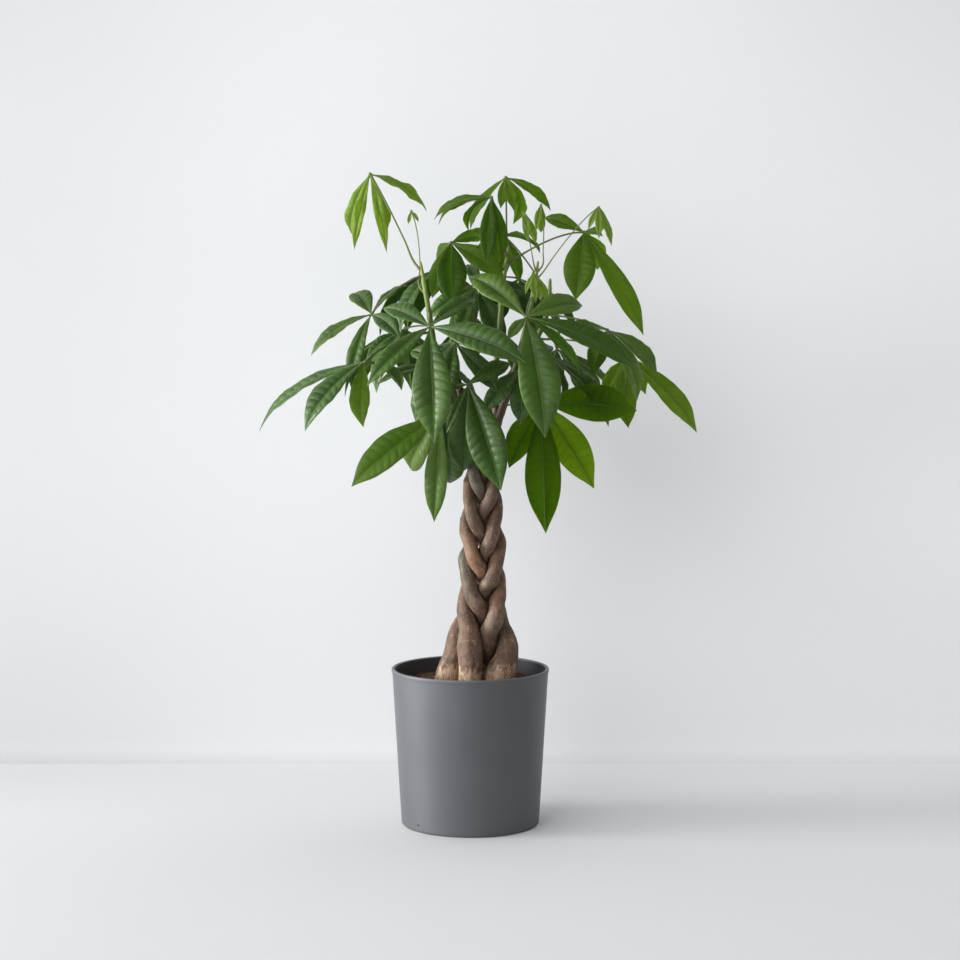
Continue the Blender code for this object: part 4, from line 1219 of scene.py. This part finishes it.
def crumb_growth(material):
    """Crumbs of many sizes strewn over the level parts of a surface."""
    crumbs = Growth("soil_crumbs", Density=95000.0, Smallest=0.35 * MM, Largest=1.7 * MM,
                    Lowest=SOIL_TOP - 6 * MM, Seed=7)
    points = crumbs.strewn(crumbs.size("Lowest").below(crumbs.height()))
    rough = crumbs.node("ShaderNodeTexNoise", values={"Scale": 1.3, "Detail": 2.0}, output="Color")
    pushed = crumbs.vector_sum("SUBTRACT", rough, (0.5, 0.5, 0.5))
    pushed = crumbs.vector_sum("MULTIPLY", pushed, (2.4, 2.4, 2.4))
    lump = crumbs.node("GeometryNodeSetPosition", values={"Geometry": crumbs.chip(), "Offset": pushed})
    smallest = crumbs.size("Smallest")
    girth_of = smallest + (crumbs.size("Largest") - smallest) * crumbs.chance(0.0, 1.0, 1) ** 3.5
    squat = crumbs.chance((0.7, 0.7, 0.35), (1.5, 1.0, 0.8), 2)
    turn = crumbs.chance((-0.6, -0.6, 0.0), (0.6, 0.6, 6.28), 3)
    scale = crumbs.node("ShaderNodeVectorMath", {"operation": "SCALE"}, {"Vector": squat, "Scale": girth_of})
    crumbs.deliver(points, lump, turn, scale, 4, material)
    return crumbs


def bark_growth(name, material, lean, low, high, density, shape, seed):
    """Small flat pieces that lie on the bark with their length along the stem, between two heights."""
    bark = Growth(name, Density=density, Lowest=low, Highest=high, Lean=lean, Seed=seed)
    height = bark.height()
    points = bark.strewn(bark.size("Lowest").below(height) * height.below(bark.size("Highest")))
    facing = Link(bark, points.socket.node.outputs["Rotation"])
    upright = bark.node("FunctionNodeAlignRotationToVector", {"axis": "Y", "pivot_axis": "Z"},
                        {"Rotation": facing, "Vector": (0.0, 0.0, 1.0)})
    lean_only = bark.node("ShaderNodeCombineXYZ", values=(bark.size("Lean"), 1.0, 1.0))
    loose = bark.vector_sum("MULTIPLY", bark.chance((0.0, -0.12, -0.3), (1.0, 0.12, 0.3), 1), lean_only)
    turned_up = bark.node("FunctionNodeRotateRotation", {"rotation_space": "LOCAL"},
                          {"Rotation": upright, "Rotate By": loose})
    size = bark.chance(times(0.45, shape), shape, 2)
    bark.deliver(points, bark.chip(), turned_up, size, 3, material)
    return bark


def crevice_shading(name, places):
    """How deep each point lies in the gap beside another stem, from 0 in the open to 1 where they touch; the
    bark paints shade by it.
    """
    nearest = np.full(len(places), 1.0)
    for other, (line, radii) in STEM_LINES.items():
        if other != name:
            for point, radius in zip(line, radii):
                nearest = np.minimum(nearest, np.linalg.norm(places - point, axis=1) - radius)
    return np.clip(1 - nearest / CREVICE_SHADE_WIDTH, 0, 1) ** 1.5


def rise(x, y, along, wide, long, scale, high):
    """How far, in mm, noise of one kind lifts a point of the bark."""
    return noise.noise(Vector((x * wide, y * wide, along * long)) * scale) * high


def stem_skin(name, line, radii, tone, chance):
    """One stem's bark: long swellings, leaf scars and a pointed green tip."""
    tip = line[-1] + unit(line[-1] - line[-2]) * STEM_POINT
    length = np.linalg.norm(np.diff(line, axis=0), axis=1).sum()
    points, steps, reach = smoothed(np.vstack((line, tip)), int(length / STEM_RING))
    girths = np.interp(steps, reach, np.append(radii, 0.4 * MM))
    girths = girths + STEM_SNUG * np.clip((BRAID_END - points[:, 2]) / 0.04, 0, 1)
    swollen_at, swollen_by = BELLY.get(name, (0.0, 0.0))
    girths = girths + swollen_by * np.exp(-((points[:, 2] - swollen_at) / BELLY_DEEP) ** 2)
    warm_at, warmths = np.array(WARM_STRETCHES[name]).T
    scars = [(chance.uniform(0.05, length), chance.uniform(0, 2 * math.pi)) for _ in range(SCARS)]
    angles = np.linspace(0, 2 * math.pi, STEM_SIDES, endpoint=False)
    places, grain, marks = [], [], []
    for point, along, radius, (across, over) in zip(points, steps, girths, frames_along(points)):
        for angle in angles:
            x, y = radius * math.cos(angle), radius * math.sin(angle)
            swell = sum(rise(x, y, along, *kind) for kind in SWELLINGS)
            swell += held((FLAKY_HIGH - point[2]) / FLAKY_FADE) * rise(x, y, along, *FLAKES)
            mark = 0.0
            for start, turn in scars:
                beyond = along - start
                if abs(beyond) < 9 * MM:
                    aside = math.remainder(angle - turn, 2 * math.pi) * radius
                    depth = math.exp(-(beyond / SCAR_HALF_HIGH) ** 2 - (aside / SCAR_HALF_WIDE) ** 2)
                    mark = max(mark, depth)
            swell = (swell + 0.7 * mark) * min(1.0, radius / (8 * MM))
            places.append(point + (radius + swell * MM) * (math.cos(angle) * across + math.sin(angle) * over))
            grain.append(Vector((x, y, along)))
            marks.append(mark)
    grain = np.array(grain)
    skin = Skin("grain_x", "grain_y", "grain_z", "tone", "scar", "warmth", "crevice")
    skin.add(np.array(places), tube_faces(len(points), STEM_SIDES), 0,
             grain_x=grain[:, 0], grain_y=grain[:, 1], grain_z=grain[:, 2] + 3 * tone, tone=tone,
             scar=np.array(marks), warmth=np.repeat(np.interp(points[:, 2], warm_at, warmths), STEM_SIDES),
             crevice=crevice_shading(name, np.array(places)))
    return skin


def add_stalk(skin, stalk, radii, tone, fresh):
    """A round leaf stalk with a swollen joint at each end, rooted in the stem."""
    root = stalk[0] - unit(stalk[1] - stalk[0]) * STALK_ROOTED
    points, steps, reach = smoothed(np.vstack((root, stalk)), STALK_RINGS)
    girths = STALK_SLIM * np.interp(steps, reach, np.append(radii[0], radii))
    for swelling, away, deep in ((0.35, steps, 4 * MM), (0.4, steps[-1] - steps, 5 * MM)):
        girths = girths * (1 + swelling * np.exp(-(away / deep) ** 2))
    angles = np.linspace(0, 2 * math.pi, STALK_SIDES, endpoint=False)
    frames = frames_along(points)[:, None]
    ring = np.cos(angles)[:, None] * frames[:, :, 0] + np.sin(angles)[:, None] * frames[:, :, 1]
    places = points[:, None, :] + ring * girths[:, None, None]
    share = np.repeat(steps / steps[-1], STALK_SIDES)
    skin.add(places.reshape(-1, 3), tube_faces(len(points), STALK_SIDES), STALK_FINISH, margin=share,
             along=share, tone=tone, fresh=fresh, **OFF_BLADE)


def add_knob(skin, middle, radius, tone, fresh):
    """The small cushion that the leaflets spread from."""
    shape = bmesh.new()
    bmesh.ops.create_icosphere(shape, subdivisions=2, radius=radius)
    points = [vertex.co * (1 + 0.12 * noise.noise(vertex.co * 900)) for vertex in shape.verts]
    faces = [tuple(vertex.index for vertex in face.verts) for face in shape.faces]
    shape.free()
    skin.add(middle + points, faces, STALK_FINISH, margin=1.0, along=1.0, tone=tone, fresh=fresh, **OFF_BLADE)


def add_leaflet(skin, blade, tone, fresh, olive):
    """A leaflet as a thin sheet: folded along its rib, quilted between its side veins, wavy at its edge."""
    side_veins = round(LEAST_VEINS + VEINS_A_METRE * blade.length)
    turns = (np.arange(side_veins)[:, None] + VEIN_STEPS).reshape(-1)
    turns = np.concatenate(([0.1], turns[1:], [side_veins - 0.12, side_veins]))[:, None]
    rows = len(turns)
    v = COLUMNS[None, :]
    s = np.abs(v)
    row = turns / side_veins
    u = row + VEIN_LEAN * s ** 1.5 * 4 * row * (1 - row)
    plump = np.vectorize(outline)(u)
    wide = np.maximum(blade.width / 2 * plump, ROOT_HALF * (1 - u) ** 0.5 + TIP_HALF)
    middle, across, face = blade_frames(blade, u)
    hang = TIP_HANG * blade.length * np.clip(u - HANG_FROM, 0, 1) ** 2 / (1 - HANG_FROM)
    middle = middle - blade.upper * hang[:, :, None]

    fold = BLADE_FOLD * (1 - STRAIGHTER_TIP * u)
    turn = np.where(v < 0, 0.0, RIPPLE_SHIFT) + blade.phase
    height = wide * np.sin(fold) * s + wide * 0.16 * 4 * s * (1 - s)
    height = height + blade.ripple * plump * np.sin(RIPPLE_WAVES * math.pi * u + turn) * s ** 1.4
    height = height + FINE_RIPPLE * plump * np.sin(MARGIN_WAVES * math.pi * u + 2.3 * turn) * s ** 3
    bulge = np.abs(np.sin(math.pi * turns)) ** 0.75 * (1 - (2 * s - 1) ** 4)
    height = height + bulge * (QUILT + YOUNG_QUILT * fresh) * wide
    groove = np.exp(-(s * wide / GROOVE_HALF) ** 2)
    thick = SHEET + 0.1 * MM * (1 - u) + groove * (RIB_DEEP * (1 - u) ** 0.8 + 0.2 * MM)
    top = height - GROOVE_DEEP * groove * plump + 0.16 * MM
    level = v * wide * np.cos(fold)
    upper = middle + across * level[:, :, None] + face * top[:, :, None]
    lower = upper - face * thick[:, :, None]
    rings = np.concatenate((upper, lower[:, ::-1]), axis=1)

    def round_ring(values):
        values = np.broadcast_to(values, (rows, len(COLUMNS)))
        return np.concatenate((values, values[:, ::-1]), axis=1).reshape(-1)

    one_row = [UPPER_FINISH] * len(COLUMNS) + [UNDER_FINISH] * (len(COLUMNS) - 1) + [UPPER_FINISH]
    skin.add(rings.reshape(-1, 3), tube_faces(rows, 2 * len(COLUMNS)),
             one_row * (rows - 1) + [UPPER_FINISH] * 2, vein=round_ring(turns), rib=round_ring(s * wide / MM),
             margin=round_ring(s), along=round_ring(u), tone=tone, fresh=fresh, olive=olive)


def leaf_skin(owner, stalk, radii, blades, order):
    """A whole compound leaf: its stalk, its cushion and its leaflets."""
    chance = random.Random(LEAF_SEED + order)
    number = order + 1  # the shoots follow the leaves
    usual = SHOOT_LOOKS if owner.startswith("shoot") else USUAL_LOOKS
    fresh, olive = LEAF_LOOKS.get(number, usual)
    skin = Skin(*LEAF_MARKS)
    tone = chance.random()
    add_stalk(skin, stalk, radii, tone, fresh)
    add_knob(skin, stalk[-1], SHOWN_KNOB * radii[0] / PETIOLE_FOOT, tone, fresh)
    for index, blade in enumerate(blades):
        own_fresh, own_shade_olive = LEAFLET_LOOKS.get((number, index), (fresh, olive))
        own_fresh = held(own_fresh + chance.uniform(-YOUTH_SPREAD, YOUTH_SPREAD))
        slim, ripple = SLIM_LEAFLETS.get(number, (1.0, 1.0))
        blade = blade._replace(width=blade.width * slim, ripple=blade.ripple * ripple)
        add_leaflet(skin, blade, held(tone + chance.uniform(-TONE_SPREAD, TONE_SPREAD)), own_fresh, own_shade_olive)
    return skin


# ---- what a user may change, and the operators


class PotSizes(bpy.types.PropertyGroup):
    """Sizes and colour of the pot."""

    wall: bpy.props.FloatProperty(
        name="Wall", description="Thickness of the pot's wall",
        default=0.0045, min=0.002, max=0.012, unit="LENGTH")
    floor: bpy.props.FloatProperty(
        name="Floor", description="Thickness of the pot's floor",
        default=0.006, min=0.002, max=0.02, unit="LENGTH")
    band: bpy.props.FloatProperty(
        name="Rim Band", description="Height of the band round the rim",
        default=0.005, min=0.003, max=0.02, unit="LENGTH")
    step: bpy.props.FloatProperty(
        name="Rim Step", description="How far the band stands out from the wall",
        default=0.001, min=0.0, max=0.004, unit="LENGTH")
    corner: bpy.props.FloatProperty(
        name="Foot Rounding", description="Radius of the pot's lower edge",
        default=0.004, min=0.001, max=0.01, unit="LENGTH")
    foot: bpy.props.FloatProperty(
        name="Foot Radius", description="Radius of the pot where it stands",
        default=0.0965, min=0.05, max=0.2, unit="LENGTH")
    colour: bpy.props.FloatVectorProperty(
        name="Colour", description="Colour of the pot",
        default=tint(82, 83, 86), min=0, max=1, subtype="COLOR")


class PlantLooks(bpy.types.PropertyGroup):
    """Colours of the bark and the leaves."""

    bark: bpy.props.FloatVectorProperty(
        name="Bark", description="Colour of old bark",
        default=tint(92, 73, 59), min=0, max=1, subtype="COLOR")
    young_bark: bpy.props.FloatVectorProperty(
        name="Young Bark", description="Colour of the stems' tips",
        default=tint(92, 110, 44), min=0, max=1, subtype="COLOR")
    leaf_dark: bpy.props.FloatVectorProperty(
        name="Leaf Shade", description="Darker green of the leaves",
        default=tint(40, 72, 8), min=0, max=1, subtype="COLOR")
    leaf_mid: bpy.props.FloatVectorProperty(
        name="Leaf", description="Usual green of the leaves",
        default=tint(66, 106, 26), min=0, max=1, subtype="COLOR")
    leaf_fresh: bpy.props.FloatVectorProperty(
        name="Fresh Leaf", description="Green of the youngest leaves",
        default=tint(134, 162, 52), min=0, max=1, subtype="COLOR")
    vein: bpy.props.FloatVectorProperty(
        name="Veins", description="Colour of the veins",
        default=tint(146, 168, 108), min=0, max=1, subtype="COLOR")


class StudioLooks(bpy.types.PropertyGroup):
    """The floor, the backdrop and the light."""

    backdrop: bpy.props.FloatVectorProperty(
        name="Backdrop", description="Colour of the floor and the backdrop",
        default=tint(239, 240, 241), min=0, max=1, subtype="COLOR")
    backdrop_behind: bpy.props.FloatProperty(
        name="Backdrop Behind", description="How far behind the pot the backdrop rises",
        default=0.42, min=0.2, max=5, unit="LENGTH")
    window: bpy.props.FloatProperty(
        name="Window Light", description="Power of the wide window", default=1240.0, min=0, unit="POWER")
    side: bpy.props.FloatProperty(
        name="Side Light", description="Power of the lower window at the side",
        default=1500.0, min=0, unit="POWER")
    sky: bpy.props.FloatProperty(
        name="Room Light", description="Strength of the light from all round", default=0.27, min=0)


class PIECE_OT_pot(bpy.types.Operator):
    """Build the pot"""

    bl_idname = "money_tree.pot"
    bl_label = "Pot"

    def execute(self, context):
        sizes = context.scene.money_tree_pot
        mesh = pot_mesh(sizes.wall, sizes.floor, sizes.band, sizes.step, sizes.corner, sizes.foot)
        mesh.materials.append(pot_finish(tuple(sizes.colour), sizes.wall, sizes.foot))
        mesh.shade_smooth()
        mesh.set_sharp_from_angle(angle=POT_SHARP)
        show("pot_body", mesh, "pot_grey", "pot")
        return {"FINISHED"}


class PIECE_OT_soil(bpy.types.Operator):
    """Build the soil and the crumbs on it"""

    bl_idname = "money_tree.soil"
    bl_label = "Soil"

    def execute(self, context):
        mesh = soil_mesh().mesh("soil_bed", [soil_finish()])
        show("soil_bed", mesh, "soil", "soil")
        crumbs = crumb_growth(crumb_finish()).grown_on(mesh)
        show("soil_crumbs", crumbs, "soil")
        return {"FINISHED"}


class PIECE_OT_stems(bpy.types.Operator):
    """Build the braided stems, their pores and their peeling bark"""

    bl_idname = "money_tree.stems"
    bl_label = "Stems"

    def execute(self, context):
        looks = context.scene.money_tree_plant
        bark = bark_finish(tuple(looks.bark), tuple(looks.young_bark))
        cork = pale_bark_finish("bark_pore", tint(204, 182, 158), tint(160, 134, 110))
        pores = bark_growth("bark_pores", cork, lean=0.0, low=SOIL_TOP + 6 * MM, high=BRAID_END,
                            density=5200.0, shape=PORE_SHAPE, seed=11)
        peel = pale_bark_finish("bark_strip", tint(206, 172, 138), tint(158, 118, 88))
        strips = bark_growth("bark_strips", peel, lean=0.25, low=SOIL_TOP - 3 * MM, high=SOIL_TOP + 26 * MM,
                             density=26000.0, shape=STRIP_SHAPE, seed=23)
        for order, (name, (line, radii)) in enumerate(STEM_LINES.items()):
            chance = random.Random(STEM_SEED + order)
            mesh = stem_skin(name, line, radii, chance.random(), chance).mesh("bark_" + name, [bark])
            show("bark_" + name, mesh, "bark", "stem_" + name)
            show("pores_" + name, pores.grown_on(mesh), "bark")
            show("strips_" + name, strips.grown_on(mesh), "bark")
        return {"FINISHED"}


class PIECE_OT_leaves(bpy.types.Operator):
    """Build every leaf and shoot"""

    bl_idname = "money_tree.leaves"
    bl_label = "Leaves"

    def execute(self, context):
        looks = context.scene.money_tree_plant
        upper = [tuple(colour) for colour in (looks.leaf_dark, looks.leaf_mid, looks.leaf_fresh, looks.vein)]
        pale = times(0.3, tint(96, 112, 50))
        under = [tuple(0.7 * part + other for part, other in zip(colour, pale)) for colour in upper]
        finishes = [leaf_finish("leaf_upper", upper, gloss=0.37, through=0.28),
                    leaf_finish("leaf_under", under, gloss=0.55, through=0.42, under=True),
                    stalk_finish(tint(92, 80, 58), tint(90, 102, 52))]
        for order, (owner, (stalk, radii, blades)) in enumerate(grow_leaves(STEM_LINES).items()):
            mesh = leaf_skin(owner, stalk, radii, blades, order).mesh("green_" + owner, finishes)
            show("green_" + owner, mesh, "leaf_young" if owner.startswith("shoot") else "leaf_green", owner)
        return {"FINISHED"}


class PIECE_OT_stage(bpy.types.Operator):
    """Set up the floor, the backdrop, the lights and the camera"""

    bl_idname = "money_tree.stage"
    bl_label = "Stage"

    def execute(self, context):
        looks = context.scene.money_tree_studio
        build_backdrop(looks.backdrop_behind, tuple(looks.backdrop))
        build_lights(looks.window, looks.side, looks.sky)
        build_camera()
        return {"FINISHED"}


def build_backdrop(behind, colour):
    """One sheet: the floor, a small curve and the wall."""
    profile = [(-STAGE_REACH, 0.0), (-1.0, 0.0), (behind - WALL_CURVE, 0.0)]
    profile += [(y, z + WALL_CURVE) for y, z in arc((behind - WALL_CURVE, 0.0), WALL_CURVE, -90, 0, 9)]
    profile += [(behind, 1.0), (behind, 4.0)]
    points = [(x, y, z) for y, z in profile for x in (-STAGE_REACH, STAGE_REACH)]
    faces = [(2 * row, 2 * row + 1, 2 * row + 3, 2 * row + 2) for row in range(len(profile) - 1)]
    mesh = bpy.data.meshes.new("backdrop")
    mesh.from_pydata(points, [], faces)
    mesh.shade_smooth()
    mesh.materials.append(backdrop_finish(colour))
    sheet = add_object("backdrop", mesh)


def hang_lamp(name, power, place, aim, size, colour):
    """One soft rectangular lamp, aimed at a point and unseen itself."""
    lamp = bpy.data.lights.new(name, "AREA")
    lamp.shape = "RECTANGLE"
    lamp.size, lamp.size_y = size
    lamp.energy = power
    lamp.color = colour
    hung = add_object(name, lamp)
    hung.location = place
    hung.rotation_euler = (Vector(aim) - hung.location).to_track_quat("-Z", "Y").to_euler()
    hung.visible_camera = False


def build_lights(window_power, side_power, sky):
    """A wide soft window in front at the left, a lower one at the left side, and even light from the room."""
    hang_lamp("window", window_power, *WINDOW)
    hang_lamp("side_window", side_power, *SIDE_WINDOW)
    world = bpy.data.worlds.new("room")
    world.use_nodes = True
    room = Board(world.node_tree)
    background = world.node_tree.nodes["Background"]
    background.inputs["Color"].default_value = ROOM_COLOUR
    seen = room.node("ShaderNodeLightPath", output="Is Camera Ray")
    room.feed(background.inputs["Strength"], sky + seen * (SEEN_SKY - sky))
    bpy.context.scene.world = world
    bpy.context.scene.view_settings.view_transform = "Standard"


def build_camera():
    lens = bpy.data.cameras.new("camera")
    lens.lens = CAMERA_LENS
    lens.sensor_width = SENSOR
    camera = add_object("camera", lens)
    camera.location = CAMERA_PLACE
    camera.rotation_euler = (CAMERA_TILT, 0, 0)
    bpy.context.scene.camera = camera


class VIEW3D_PT_money_tree(bpy.types.Panel):
    """Lists the pieces of the money tree"""

    bl_label = "Money Tree"
    bl_idname = "VIEW3D_PT_money_tree"
    bl_space_type = "VIEW_3D"
    bl_region_type = "UI"
    bl_category = "Money Tree"

    def draw(self, context):
        for label, group in GROUPS.items():
            box = self.layout.box()
            for size in group.__annotations__:
                box.prop(getattr(context.scene, label), size)
        for piece in PIECES:
            self.layout.operator(piece.bl_idname)


PIECES = (PIECE_OT_stage, PIECE_OT_pot, PIECE_OT_soil, PIECE_OT_stems, PIECE_OT_leaves)
GROUPS = {"money_tree_pot": PotSizes, "money_tree_plant": PlantLooks, "money_tree_studio": StudioLooks}


def register():
    for group in GROUPS.values():
        bpy.utils.register_class(group)
    for label, group in GROUPS.items():
        setattr(bpy.types.Scene, label, bpy.props.PointerProperty(type=group))
    for piece in PIECES:
        bpy.utils.register_class(piece)
    bpy.utils.register_class(VIEW3D_PT_money_tree)


def unregister():
    bpy.utils.unregister_class(VIEW3D_PT_money_tree)
    for piece in reversed(PIECES):
        bpy.utils.unregister_class(piece)
    for label, group in GROUPS.items():
        delattr(bpy.types.Scene, label)
        bpy.utils.unregister_class(group)


def main():
    register()
    bpy.ops.money_tree.stage()
    bpy.ops.money_tree.pot()
    bpy.ops.money_tree.soil()
    bpy.ops.money_tree.stems()
    bpy.ops.money_tree.leaves()


STEM_LINES = grow_stems()

if __name__ == "__main__":
    main()
